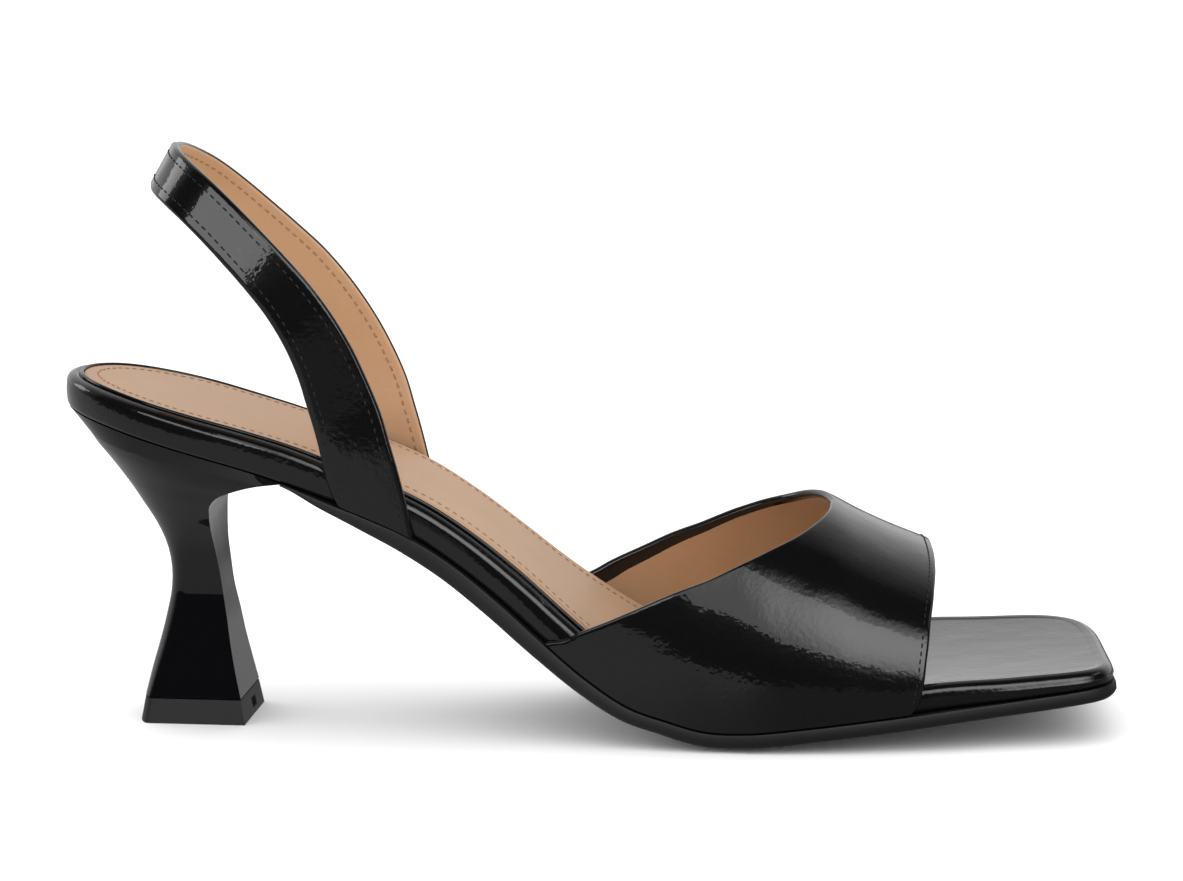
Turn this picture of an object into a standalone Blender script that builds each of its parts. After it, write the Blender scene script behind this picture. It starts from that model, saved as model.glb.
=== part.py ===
"""Right slingback sandal with a square open toe, a V-cut vamp and a flared spool heel.

Metres, +Z up. The toe points along +X and the medial side is +Y. The origin is the
middle of the heel lift's ground face, and the flat of the tread lies on the same plane.

Every layer under the foot is laid on one bent footbed: a plan position and a height
above the platform's top become a point in space, so the layers stay parallel.
"""

import bmesh
import bpy
import numpy as np

# Whole shoe
LENGTH = 0.2315  # platform, heel back to toe tip
BALL_WIDTH = 0.079  # platform across the ball
SEAT_SETBACK = 0.0303  # heel back behind the middle of the heel lift
PITCH = 0.0675  # platform top at the seat above platform top at the tread
TOE_SPRING = 0.0077
ARCH_LIFT = 0.0052  # medial edge above lateral edge at the waist
TREAD_CAMBER = 0.0015  # sole edges above the middle of the tread
CLEARANCE = 0.0003  # between touching pieces

# Layers
SOCK_THICKNESS = 0.0011
SOCK_END = 0.80  # share of the length where the sock ends, under the vamp
PLATFORM_THICKNESS = 0.0064
RIM_WIDTH = 0.0034  # covered rim that shows outside the sock
RIM_BEAD = 0.0011
EDGE_ROUND = 0.0022  # round of the platform's top edge
FOOT_ROUND = 0.0006  # the platform draws in where it meets what is under it
OUTSOLE_THICKNESS = 0.0030
OUTSOLE_BEVEL = 0.0011
OUTSOLE_MARGIN = 0.0004  # outsole outside what stands on it
TREAD_FLAT = 0.0005  # depth worn off the middle of the tread, which leaves its flat spot

# Outline of both ends
HEEL_CAP = 0.152  # share of the length that the round heel takes
HEEL_POWER = 2.0  # exponent of the round heel: 2 is an ellipse
TOE_CAP = 0.900  # share of the length where the square toe starts to round
TOE_POWER = {"lateral": 7.0, "medial": 3.6}

# Heel block and its lift
HEEL_TURN = np.radians(6.5)  # the heel points this much to the lateral side
BREAST = 0.223  # share of the length where the heel's breast meets the platform
HEEL_INSET = 0.0005  # heel's top edge inside the platform's edge
LIFT_THICKNESS = 0.0054
LIFT_LENGTH = 0.0235
LIFT_WIDTH = 0.0244
LIFT_FLARE = 0.0010  # on each side, top to bottom

# Upper
VAMP_WALL = 0.0017
VAMP_RISE = 0.0388  # crest of the throat above the platform's top
VAMP_POWER = 2.35  # exponent of the vamp's cross-section: 2 is an ellipse
STRAP_WALL = 0.0021
STRAP_WIDTH = 0.0150
STRAP_HEIGHT = 0.1240  # middle of the strap at the back of the foot, above the floor
STRAP_SPAN = 0.0570  # loop across the ankle, between the middles of its walls

# Rows around a piece and along it
ACROSS = 6
CORNER_STEPS = 3
SEAT_STEPS = 4  # from the round heel to the breast
WAIST_STEPS = 8  # from the breast to the bend
BEND_STEPS = 10  # through the bend behind the ball
FORE_STEPS = 8  # from the bend to the toe's corners
BEND = (0.46, 0.62)  # shares of the length where the footbed bends most
HEEL_RINGS = 12
STRAP_ROWS = 22
STRAP_ACROSS = 3

# Sections of the footbed from heel back to toe tip. along is a share of LENGTH, rise of
# PITCH, spring of TOE_SPRING, lateral and medial of BALL_WIDTH, arch of ARCH_LIFT, camber of
# TREAD_CAMBER, board of PLATFORM_THICKNESS, bead of RIM_BEAD and sole of OUTSOLE_THICKNESS.
# seam is 1 where the upper's wall stands on the outsole.
FOOTBED_COLUMNS = "along rise spring lateral medial arch camber board bead sole seam".split()
FOOTBED = np.array((
    (0.000, 1.010, 0.00, -0.297, 0.362, 0.40, 0.0, 0.93, 1.00, 0.60, 0.0),
    (0.047, 0.979, 0.00, -0.310, 0.362, 0.36, 0.0, 0.93, 1.00, 0.60, 0.0),
    (0.090, 0.944, 0.00, -0.324, 0.356, 0.30, 0.0, 0.94, 1.00, 0.60, 0.0),
    (0.133, 0.907, 0.00, -0.338, 0.349, 0.22, 0.0, 0.95, 1.00, 0.60, 0.0),
    (0.176, 0.867, 0.00, -0.350, 0.338, 0.16, 0.0, 0.97, 0.95, 0.60, 0.0),
    (0.219, 0.824, 0.00, -0.359, 0.320, 0.18, 0.0, 0.99, 0.85, 0.20, 0.0),
    (0.262, 0.773, 0.00, -0.361, 0.297, 0.29, 0.0, 1.00, 0.65, 0.62, 0.8),
    (0.306, 0.717, 0.00, -0.356, 0.272, 0.42, 0.0, 1.00, 0.40, 1.00, 1.0),
    (0.349, 0.649, 0.00, -0.350, 0.249, 0.52, 0.0, 1.00, 0.20, 1.25, 0.8),
    (0.392, 0.553, 0.00, -0.349, 0.235, 0.60, 0.0, 1.00, 0.10, 1.30, 0.5),
    (0.435, 0.436, 0.00, -0.359, 0.231, 0.70, 0.1, 1.00, 0.10, 1.28, 0.8),
    (0.478, 0.307, 0.00, -0.380, 0.246, 0.86, 0.3, 1.00, 0.10, 1.20, 1.0),
    (0.521, 0.184, 0.00, -0.413, 0.288, 1.00, 0.6, 0.98, 0.10, 1.10, 1.0),
    (0.553, 0.104, 0.00, -0.440, 0.330, 0.90, 0.9, 0.96, 0.10, 1.05, 1.0),
    (0.583, 0.048, 0.00, -0.462, 0.370, 0.45, 1.0, 0.92, 0.10, 1.00, 1.0),
    (0.611, 0.009, 0.00, -0.479, 0.404, 0.15, 1.0, 0.89, 0.10, 1.00, 1.0),
    (0.650, 0.000, 0.00, -0.497, 0.449, 0.00, 1.0, 0.88, 0.10, 1.00, 1.0),
    (0.693, 0.000, 0.08, -0.501, 0.477, 0.00, 1.2, 0.88, 0.10, 1.00, 1.0),
    (0.736, 0.000, 0.27, -0.495, 0.486, 0.00, 1.0, 0.89, 0.10, 1.00, 1.0),
    (0.780, 0.000, 0.44, -0.482, 0.482, 0.00, 0.9, 0.90, 0.10, 1.00, 1.0),
    (0.832, 0.000, 0.61, -0.464, 0.468, 0.00, 0.9, 0.88, 0.10, 1.00, 1.0),
    (0.888, 0.000, 0.70, -0.443, 0.450, 0.00, 0.8, 0.76, 0.10, 1.00, 0.3),
    (0.931, 0.000, 0.79, -0.425, 0.436, 0.00, 0.7, 0.68, 0.10, 1.00, 0.1),
    (0.965, 0.000, 0.88, -0.412, 0.425, 0.00, 0.6, 0.61, 0.10, 1.00, 0.0),
    (1.000, 0.000, 1.00, -0.394, 0.406, 0.00, 0.5, 0.56, 0.10, 1.00, 0.0),
))

# Sections of the heel block below its top edge. down is a share of the way from the
# platform to the lift, back and front are shares of LIFT_LENGTH from the heel's axis, and
# half is a share of LIFT_WIDTH. level is 0 where the section lies along the platform and
# 1 where it is level. corner is the share of the half width that a back corner takes.
HEEL_COLUMNS = "down back front half level corner".split()
HEEL_SECTIONS = np.array((
    (0.020, -1.190, 0.760, 1.060, 0.00, 1.00),
    (0.045, -1.110, 0.660, 1.000, 0.06, 1.00),
    (0.090, -1.000, 0.490, 0.910, 0.18, 1.00),
    (0.130, -0.890, 0.350, 0.830, 0.28, 1.00),
    (0.165, -0.800, 0.240, 0.750, 0.38, 0.99),
    (0.210, -0.695, 0.160, 0.660, 0.50, 0.97),
    (0.270, -0.580, 0.140, 0.550, 0.62, 0.94),
    (0.340, -0.455, 0.145, 0.440, 0.78, 0.88),
    (0.420, -0.360, 0.165, 0.335, 0.92, 0.80),
    (0.500, -0.315, 0.195, 0.295, 1.00, 0.70),
    (0.600, -0.310, 0.230, 0.285, 1.00, 0.60),
    (0.700, -0.340, 0.275, 0.335, 1.00, 0.50),
    (0.800, -0.390, 0.315, 0.380, 1.00, 0.40),
    (0.900, -0.450, 0.365, 0.430, 1.00, 0.32),
    (1.000, -0.510, 0.420, 0.465, 1.00, 0.25),
))

# The vamp's two long edges, from the seam at the sole over the foot to the crest. girth is
# the share of the half turn from one seam to the other. lateral and medial say where the
# topline is and front where the toe edge is, as shares of LENGTH.
VAMP_COLUMNS = "girth lateral medial front".split()
VAMP_EDGES = np.array((
    (0.000, 0.462, 0.464, 0.806),
    (0.013, 0.478, 0.479, 0.812),
    (0.034, 0.494, 0.495, 0.815),
    (0.055, 0.511, 0.512, 0.817),
    (0.092, 0.543, 0.544, 0.819),
    (0.144, 0.593, 0.587, 0.822),
    (0.189, 0.632, 0.622, 0.824),
    (0.257, 0.674, 0.668, 0.826),
    (0.300, 0.695, 0.692, 0.827),
    (0.368, 0.716, 0.716, 0.829),
    (0.442, 0.730, 0.730, 0.830),
    (0.500, 0.735, 0.735, 0.830),
))
# The vamp's crest: its height above the platform's top, as a share of VAMP_RISE.
CREST_COLUMNS = "along rise".split()
CREST = np.array((
    (0.40, 1.12),
    (0.50, 1.29),
    (0.60, 1.35),
    (0.66, 1.22),
    (0.70, 1.105),
    (0.733, 1.000),
    (0.765, 0.872),
    (0.795, 0.766),
    (0.830, 0.658),
))

# The slingback strap from its end on the platform's side to the middle of the back. along
# is a share of LENGTH, height of STRAP_HEIGHT and width of STRAP_WIDTH; lean tips the
# width from upright towards the toe, in degrees; out is a share of half the STRAP_SPAN;
# grip is 1 where the strap lies on the platform's side; ahead moves the medial side
# towards the toe, as a share of LENGTH.
STRAP_COLUMNS = "along height width lean out grip ahead".split()
STRAP = np.array((
    (0.3015, 0.393, 1.22, 116.0, 1.000, 1.0, 0.016),
    (0.2930, 0.452, 1.09, 95.0, 1.000, 1.0, 0.016),
    (0.2845, 0.512, 1.02, 78.0, 1.000, 0.8, 0.016),
    (0.2765, 0.568, 1.00, 73.0, 1.000, 0.4, 0.015),
    (0.2655, 0.626, 0.95, 67.0, 1.000, 0.1, 0.013),
    (0.2544, 0.679, 0.89, 61.0, 1.000, 0.0, 0.010),
    (0.2389, 0.735, 0.83, 55.0, 1.000, 0.0, 0.007),
    (0.2199, 0.788, 0.78, 50.0, 0.995, 0.0, 0.004),
    (0.1993, 0.834, 0.75, 47.0, 0.975, 0.0, 0.000),
    (0.1763, 0.880, 0.73, 45.0, 0.930, 0.0, -0.003),
    (0.1545, 0.920, 0.72, 43.0, 0.850, 0.0, -0.004),
    (0.1335, 0.954, 0.72, 40.0, 0.730, 0.0, -0.004),
    (0.1155, 0.978, 0.72, 37.0, 0.550, 0.0, -0.003),
    (0.1030, 0.992, 0.73, 32.0, 0.300, 0.0, -0.001),
    (0.0985, 0.997, 0.73, 29.0, 0.000, 0.0, 0.000),
))


def curve(table, columns, name, at):
    """Smooth curve through one column over the first one: cubic between rows, with the
    slope at each row taken from its two neighbours."""
    x, y = table[:, 0], table[:, columns.index(name)]
    slope = np.gradient(y, x)
    at = np.clip(at, x[0], x[-1])
    i = np.clip(np.searchsorted(x, at, side="right") - 1, 0, len(x) - 2)
    step = x[i + 1] - x[i]
    t = (at - x[i]) / step
    return (
        (2 * t**3 - 3 * t**2 + 1) * y[i]
        + (t**3 - 2 * t**2 + t) * step * slope[i]
        + (3 * t**2 - 2 * t**3) * y[i + 1]
        + (t**3 - t**2) * step * slope[i + 1]
    )


def footbed(name, along):
    return curve(FOOTBED, FOOTBED_COLUMNS, name, along)


def board(along):
    """Thickness of the platform."""
    return PLATFORM_THICKNESS * footbed("board", along)


def bead(along):
    """Height of the rim's bead above the platform's top."""
    return RIM_BEAD * footbed("bead", along)


def sole(along):
    """Thickness of the outsole."""
    return OUTSOLE_THICKNESS * footbed("sole", along)


def crest_line(along):
    """Height of the middle of the platform's top above the floor."""
    flattest = 0.625
    tread = sole(flattest) + CLEARANCE + board(flattest) - TREAD_FLAT
    return tread + PITCH * footbed("rise", along) + TOE_SPRING * footbed("spring", along)


def slope_at(along):
    step = 1e-4
    return (crest_line(along + step) - crest_line(along - step)) / (2 * step * LENGTH)


def top_height(along, y):
    """Height above the floor of the platform's top at a plan position: the middle's
    height, tipped up on the medial side at the arch and cupped up at both edges."""
    lateral = footbed("lateral", along) * BALL_WIDTH
    medial = footbed("medial", along) * BALL_WIDTH
    across = (y - (lateral + medial) / 2) / ((medial - lateral) / 2)
    tipped = crest_line(along) + ARCH_LIFT * footbed("arch", along) * across / 2
    return tipped + TREAD_CAMBER * footbed("camber", along) * across**2


def lay(along, y, height):
    """Points of the bent footbed: along is a share of the length, y is measured across in
    metres, and height is measured square to the platform's top, or upright at the seat."""
    along, y, height = np.broadcast_arrays(*(np.asarray(v, float) for v in (along, y, height)))
    lean = slope_at(along) * np.clip(along / BREAST, 0, 1)
    square = np.sqrt(1 + lean**2)
    x = along * LENGTH - SEAT_SETBACK - height * lean / square
    return np.stack([x, y, top_height(along, y) + height / square], -1)


def under_place(x, y):
    """Share of the length whose underside lies over a place in the shoe, found by stepping
    along the footbed towards it."""
    along = (x + SEAT_SETBACK) / LENGTH
    for _ in range(20):
        miss = x - lay(along, y, -board(along))[..., 0]
        along = np.clip(along + 0.7 * miss / LENGTH, 0, 1)
    return along


def under_height(x, y):
    """Height above the floor of the platform's underside at a place in the shoe."""
    along = under_place(x, y)
    return lay(along, y, -board(along))[..., 2]


def side(name, along):
    """Distance from the length's middle line to one side of the platform: a smooth side
    whose ends are drawn in by a superellipse each."""
    back = np.clip((HEEL_CAP - along) / HEEL_CAP, 0, 1)
    front = np.clip((along - TOE_CAP) / (1 - TOE_CAP), 0, 1)
    cap = (1 - back**HEEL_POWER) ** (1 / HEEL_POWER)
    cap = cap * (1 - front ** TOE_POWER[name]) ** (1 / TOE_POWER[name])
    middle = (footbed("lateral", along) + footbed("medial", along)) / 2
    return BALL_WIDTH * (middle + (footbed(name, along) - middle) * cap)


def shared_rows(first, last):
    """Rows that all pieces share between two places, as shares of the length, so that
    pieces that lie on each other bend at the same lines."""
    shared = np.concatenate([
        np.linspace(HEEL_CAP, BREAST, SEAT_STEPS + 1)[1:],
        np.linspace(BREAST, BEND[0], WAIST_STEPS + 1)[1:],
        np.linspace(*BEND, BEND_STEPS + 1)[1:],
        np.linspace(BEND[1], TOE_CAP, FORE_STEPS + 1)[1:],
    ])
    nearest = 0.3 * (TOE_CAP - BEND[1]) / FORE_STEPS
    return np.concatenate([
        [first], shared[(shared > first + nearest) & (shared < last - nearest)], [last],
    ])


def stations(name, first, last):
    """Shares of the length along one side: the shared rows, and closer ones where a round
    end turns in."""
    turn = np.linspace(np.pi / 4, np.pi / 2, CORNER_STEPS + 1)
    parts = [shared_rows(max(first, HEEL_CAP), min(last, TOE_CAP))]
    if first < HEEL_CAP:
        parts.insert(0, HEEL_CAP * (1 - np.cos(turn[:-1]) ** (2 / HEEL_POWER)))
    if last > TOE_CAP:
        reach = np.cos(turn[-2::-1]) ** (2 / TOE_POWER[name])
        parts.append(TOE_CAP + (1 - TOE_CAP) * reach)
    return np.concatenate(parts)


def end_row(along_lateral, along_medial, toe):
    """The row of points that closes one end, from the lateral to the medial side. A round
    end follows its superellipses and a cut one is straight."""
    shares = np.linspace(-1, 1, ACROSS + 1)
    if along_lateral == along_medial and not toe and along_lateral > HEEL_CAP:
        along = np.full(ACROSS + 1, along_lateral)
    elif toe and along_lateral < TOE_CAP:
        along = np.full(ACROSS + 1, along_lateral)
    elif toe:
        reach = [
            (1 - abs(s * 0.5 ** (1 / p)) ** p) ** (1 / p)
            for s, p in ((s, TOE_POWER["lateral" if s < 0 else "medial"]) for s in shares)
        ]
        along = TOE_CAP + (1 - TOE_CAP) * np.array(reach)
    else:
        along = HEEL_CAP * (1 - np.cos(shares * np.pi / 4) ** (2 / HEEL_POWER))
    lateral, medial = side("lateral", along), side("medial", along)
    middle = (footbed("lateral", along) + footbed("medial", along)) / 2 * BALL_WIDTH
    y = np.where(shares < 0, lateral, np.where(shares > 0, medial, middle))
    if (toe and along_lateral < TOE_CAP) or (not toe and along_lateral > HEEL_CAP):
        y = lateral + (medial - lateral) * (shares + 1) / 2
    return np.stack([along * LENGTH, y], -1)


def outline(first=0.0, last=1.0):
    """The platform's outline in plan, as (distance from the heel back, y): the lateral
    side to the toe, the toe, the medial side back and the heel end, without repeats."""
    sides = {}
    for name in ("lateral", "medial"):
        along = stations(name, first, last)
        sides[name] = np.stack([along * LENGTH, side(name, along)], -1)
    ends = [
        end_row(sides["lateral"][i, 0] / LENGTH, sides["medial"][i, 0] / LENGTH, i == -1)
        for i in (0, -1)
    ]
    return np.concatenate([
        sides["lateral"], ends[1][1:-1], sides["medial"][::-1], ends[0][-2:0:-1],
    ])


def moved_out(loop, distance):
    """The closed plan outline moved square to itself, outwards where distance is above 0."""
    into = loop - np.roll(loop, 1, 0)
    out_of = np.roll(loop, -1, 0) - loop
    into = into / np.linalg.norm(into, axis=1, keepdims=True)
    out_of = out_of / np.linalg.norm(out_of, axis=1, keepdims=True)
    both = into + out_of
    normal = np.stack([both[:, 1], -both[:, 0]], -1)
    length = np.maximum(np.linalg.norm(normal, axis=1, keepdims=True), 1.2)
    distance = np.broadcast_to(np.asarray(distance, float), (len(loop),))
    return loop + 2 * normal / length**2 * distance[:, None]


def patch(loop):
    """Grid inside a closed outline, blended from its four sides: the ruled surface between
    the sides plus the one between the ends, less the one between the corners."""
    rows = (len(loop) - 2 * ACROSS) // 2
    lateral = loop[: rows + 1]
    front = loop[rows : rows + ACROSS + 1]
    medial = loop[rows + ACROSS : 2 * rows + ACROSS + 1][::-1]
    back = np.concatenate([loop[2 * rows + ACROSS :], loop[:1]])[::-1]
    u = np.linspace(0, 1, rows + 1)[:, None, None]
    v = np.linspace(0, 1, ACROSS + 1)[None, :, None]
    between_sides = (1 - v) * lateral[:, None] + v * medial[:, None]
    between_ends = (1 - u) * back[None] + u * front[None]
    corners = (1 - u) * ((1 - v) * back[0] + v * back[-1]) + u * ((1 - v) * front[0] + v * front[-1])
    return between_sides + between_ends - corners


def laid(plan, height_at):
    """Plan points laid on the footbed, at a height given by their place along it."""
    along = plan[..., 0] / LENGTH
    return lay(along, plan[..., 1], height_at(along))


class Shell:
    """Collects grids of points into one closed mesh, joining points that coincide."""

    def __init__(self, name, material):
        self.name, self.material = name, material
        self.points, self.faces, self.count = [], [], 0

    def grid(self, points, wrap=False):
        """Quads between the rows and columns of an array of points."""
        points = np.asarray(points)
        rows, columns = points.shape[:2]
        index = np.arange(rows * columns).reshape(rows, columns) + self.count
        after = np.roll(index, -1, 1) if wrap else index[:, 1:]
        here = index if wrap else index[:, :-1]
        quads = np.stack([here[:-1], after[:-1], after[1:], here[1:]], -1)
        self.points.append(points.reshape(-1, 3))
        self.faces += quads.reshape(-1, 4).tolist()
        self.count += rows * columns

    def build(self):
        mesh = bpy.data.meshes.new(self.name)
        mesh.from_pydata(np.concatenate(self.points).tolist(), [], self.faces)
        work = bmesh.new()
        work.from_mesh(mesh)
        bmesh.ops.remove_doubles(work, verts=work.verts, dist=2e-6)
        bmesh.ops.recalc_face_normals(work, faces=work.faces)
        bmesh.ops.triangulate(work, faces=work.faces)
        if work.calc_volume(signed=True) < 0:
            bmesh.ops.reverse_faces(work, faces=work.faces)
        work.to_mesh(mesh)
        work.free()
        mesh.materials.append(self.material)
        mesh.shade_smooth()
        mesh.set_sharp_from_angle(angle=np.radians(40))
        made = bpy.data.objects.new(self.name, mesh)
        bpy.context.scene.collection.objects.link(made)
        return made


def add_platform(leather):
    """Covered platform: a rim with a bead round the sock, a rounded edge and a plain side."""
    plan = outline()
    profile = (
        (-RIM_WIDTH, lambda along: 0 * along),
        (-0.80 * RIM_WIDTH, lambda along: 0.8 * bead(along)),
        (-0.55 * RIM_WIDTH, bead),
        (-0.45 * EDGE_ROUND, lambda along: bead(along) - 0.12 * EDGE_ROUND),
        (-0.12 * EDGE_ROUND, lambda along: bead(along) - 0.45 * EDGE_ROUND),
        (0.0, lambda along: bead(along) - EDGE_ROUND),
        (0.0, lambda along: 2 * FOOT_ROUND - board(along)),
        (-FOOT_ROUND, lambda along: -board(along)),
    )
    shell = Shell("platform", leather)
    shell.grid([laid(moved_out(plan, out), height_at) for out, height_at in profile], wrap=True)
    for out, height_at in (profile[0], profile[-1]):
        shell.grid(laid(patch(moved_out(plan, out)), height_at))
    return shell.build()


def add_sock(leather):
    """Sock lining: a thin pad with an eased top edge, from the heel to under the vamp."""
    plan = moved_out(outline(last=SOCK_END), -RIM_WIDTH - CLEARANCE)
    eased = 0.35 * SOCK_THICKNESS
    profile = (
        (0.0, lambda along: CLEARANCE + 0 * along),
        (0.0, lambda along: CLEARANCE + SOCK_THICKNESS - eased + 0 * along),
        (-eased, lambda along: CLEARANCE + SOCK_THICKNESS + 0 * along),
    )
    shell = Shell("sock_lining", leather)
    shell.grid([laid(moved_out(plan, out), height_at) for out, height_at in profile], wrap=True)
    for out, height_at in (profile[0], profile[-1]):
        shell.grid(laid(patch(moved_out(plan, out)), height_at))
    return shell.build()


def seam_reach(along):
    """How far the outsole stands outside the platform: past the upper's wall on a seam."""
    return OUTSOLE_MARGIN + (CLEARANCE + VAMP_WALL) * footbed("seam", along)


def add_outsole(rubber):
    """Outsole from the heel's breast to the toe, with a bevelled foot edge and a flat tread."""
    plan = outline(first=BREAST + CLEARANCE / LENGTH)
    cut = plan[:, 0] < BREAST * LENGTH + 2 * CLEARANCE
    reach = seam_reach(plan[:, 0] / LENGTH)
    profile = (
        (reach, seat_height),
        (reach, lambda along: seat_height(along) - sole(along) + bevel(along)),
        (reach - OUTSOLE_BEVEL, lambda along: seat_height(along) - sole(along)),
    )
    shell = Shell("outsole", rubber)
    loops = [with_cut(moved_out(plan, out), plan, cut) for out, _ in profile]
    heights = [height_at for _, height_at in profile]
    shell.grid([grounded(laid(loop, up)) for loop, up in zip(loops, heights)], wrap=True)
    for end in (0, -1):
        shell.grid(grounded(laid(patch(loops[end]), heights[end])))
    return shell.build()


def bevel(along):
    """Height of the outsole's bevelled foot edge."""
    return OUTSOLE_BEVEL * np.minimum(footbed("sole", along), 1.0)


def with_cut(moved, plan, cut):
    """Keeps the straight end of an outline where it was cut."""
    moved = moved.copy()
    moved[cut, 0] = plan[cut, 0]
    return moved


def grounded(points):
    """Nothing reaches below the floor, which leaves the tread's flat spot."""
    points = points.copy()
    points[..., 2] = np.maximum(points[..., 2], 0.0)
    return points


def heel_ring(back, front, half, corner, turn=HEEL_TURN):
    """Section of the heel in plan: a back with two rounded corners, and straight sides and
    breast, with as many points as the platform's outline above it, turned on its axis."""
    steep = np.linspace(np.pi / 4, np.pi / 2, CORNER_STEPS + 1)
    start = back + corner * half
    side_x = np.concatenate([
        start - corner * half * np.cos(steep[:-1]), np.linspace(start, front, SEAT_STEPS + 1),
    ])
    side_y = np.concatenate([half * np.sin(steep[:-1]), np.full(SEAT_STEPS + 1, half)])
    round_back = np.linspace(-np.pi / 4, np.pi / 4, ACROSS + 1)
    back_x = start - corner * half * np.cos(round_back)
    back_row = np.stack([back_x, half * np.sin(round_back)], -1)
    breast_y = np.linspace(-half, half, ACROSS + 1)
    breast_row = np.stack([np.full(ACROSS + 1, front), breast_y], -1)
    local = np.concatenate([
        np.stack([side_x, -side_y], -1), breast_row[1:-1],
        np.stack([side_x, side_y], -1)[::-1], back_row[-2:0:-1],
    ])
    x, y = local.T
    return np.stack([x * np.cos(turn) + y * np.sin(turn), y * np.cos(turn) - x * np.sin(turn)], -1)


def add_heel(lacquer):
    """Spool heel: lofted from the platform's outline through a narrow waist to the lift."""
    plan = outline(last=BREAST)
    seat = with_cut(moved_out(plan, -HEEL_INSET), plan, plan[:, 0] > BREAST * LENGTH - CLEARANCE)
    rings = [laid(seat, seat_height)]
    lift_top = LIFT_THICKNESS + CLEARANCE
    drop = under_height(0.0, 0.0) - CLEARANCE - lift_top
    levels = np.concatenate([HEEL_SECTIONS[:7, 0], np.linspace(0.31, 1.0, HEEL_RINGS)])
    for down in levels:
        back, front, half, level, corner = (
            curve(HEEL_SECTIONS, HEEL_COLUMNS, name, down)
            for name in ("back", "front", "half", "level", "corner")
        )
        ring = heel_ring(
            back * LIFT_LENGTH, front * LIFT_LENGTH, half * LIFT_WIDTH, corner, HEEL_TURN * level
        )
        along_platform = under_height(ring[:, 0], ring[:, 1]) - CLEARANCE - down * drop
        upright = lift_top + (1 - down) * drop
        z = along_platform + level * (upright - along_platform)
        rings.append(np.column_stack([ring, z]))
    shell = Shell("heel", lacquer)
    shell.grid(rings, wrap=True)
    shell.grid(laid(patch(seat), seat_height))
    shell.grid(patch(rings[-1]))
    return shell.build()


def seat_height(along):
    """Top of what lies under the platform, below the platform's own top."""
    return -board(along) - CLEARANCE


def add_lift(rubber):
    """Heel lift: the heel's foot carried down with a slight flare to its ground face."""
    back, front, half, corner = (
        curve(HEEL_SECTIONS, HEEL_COLUMNS, name, 1.0) for name in ("back", "front", "half", "corner")
    )
    rings = []
    for flare, z in ((0.0, LIFT_THICKNESS), (LIFT_FLARE, 0.0)):
        ring = heel_ring(
            back * LIFT_LENGTH - flare, front * LIFT_LENGTH + flare, half * LIFT_WIDTH + flare, corner
        )
        rings.append(np.column_stack([ring, np.full(len(ring), z)]))
    shell = Shell("heel_lift", rubber)
    shell.grid(rings, wrap=True)
    for ring in rings:
        shell.grid(patch(ring))
    return shell.build()


def vamp_surface(along, turn):
    """Outer face of the vamp: at each place along the foot half a superellipse, from the
    lateral seam at turn 0 to the medial seam at turn pi, over the crest."""
    x = along * LENGTH - SEAT_SETBACK
    wall = CLEARANCE + VAMP_WALL
    foot = np.maximum(along, under_place(x, side("lateral", along)))
    lateral, medial = side("lateral", foot) - wall, side("medial", foot) + wall
    middle, half = (lateral + medial) / 2, (medial - lateral) / 2
    y = middle - half * np.sign(np.cos(turn)) * np.abs(np.cos(turn)) ** (2 / VAMP_POWER)
    crest = crest_line(along) + VAMP_RISE * curve(CREST, CREST_COLUMNS, "rise", along)
    seam = under_height(x, np.where(turn < np.pi / 2, lateral, medial))
    rise = np.abs(np.sin(turn)) ** (2 / VAMP_POWER)
    return np.stack([x, y, seam * (1 - rise) + crest * rise], -1)


def off_surface(points, distance):
    """A grid of points moved square to its own surface, towards the side from which going
    from its rows' direction to its columns' is an anticlockwise turn."""
    along_rows = np.gradient(points, axis=0)
    along_columns = np.gradient(points, axis=1)
    normal = np.cross(along_rows, along_columns)
    normal = normal / np.linalg.norm(normal, axis=-1, keepdims=True)
    return points + normal * distance


def add_vamp(leather):
    """Vamp: one hollow wall from sole seam to sole seam, cut by the V of its topline and
    by its toe edge, and open at the throat, the toe and underneath."""
    half_girth = VAMP_EDGES[:, 0]
    girth = np.concatenate([half_girth, 1 - half_girth[-2::-1]])
    back = np.concatenate([VAMP_EDGES[:, 1], VAMP_EDGES[-2::-1, 2]])
    front = np.concatenate([VAMP_EDGES[:, 3], VAMP_EDGES[-2::-1, 3]])
    seam = shared_rows(back[0], front[0])[:, None]
    along = back + (front - back) * (seam - back[0]) / (front[0] - back[0])
    outer = vamp_surface(along, np.broadcast_to(girth * np.pi, along.shape))
    inner = off_surface(outer, -VAMP_WALL)
    for wall in (outer, inner):
        for seam_edge in (0, -1):
            x, y = wall[:, seam_edge, 0], wall[:, seam_edge, 1]
            wall[:, seam_edge, 2] = under_height(x, y) + CLEARANCE / 2
    shell = Shell("vamp", leather)
    shell.grid(outer)
    shell.grid(inner)
    for edge in (0, -1):
        shell.grid([outer[edge], inner[edge]])
        shell.grid([outer[:, edge], inner[:, edge]])
    return shell.build()


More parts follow.
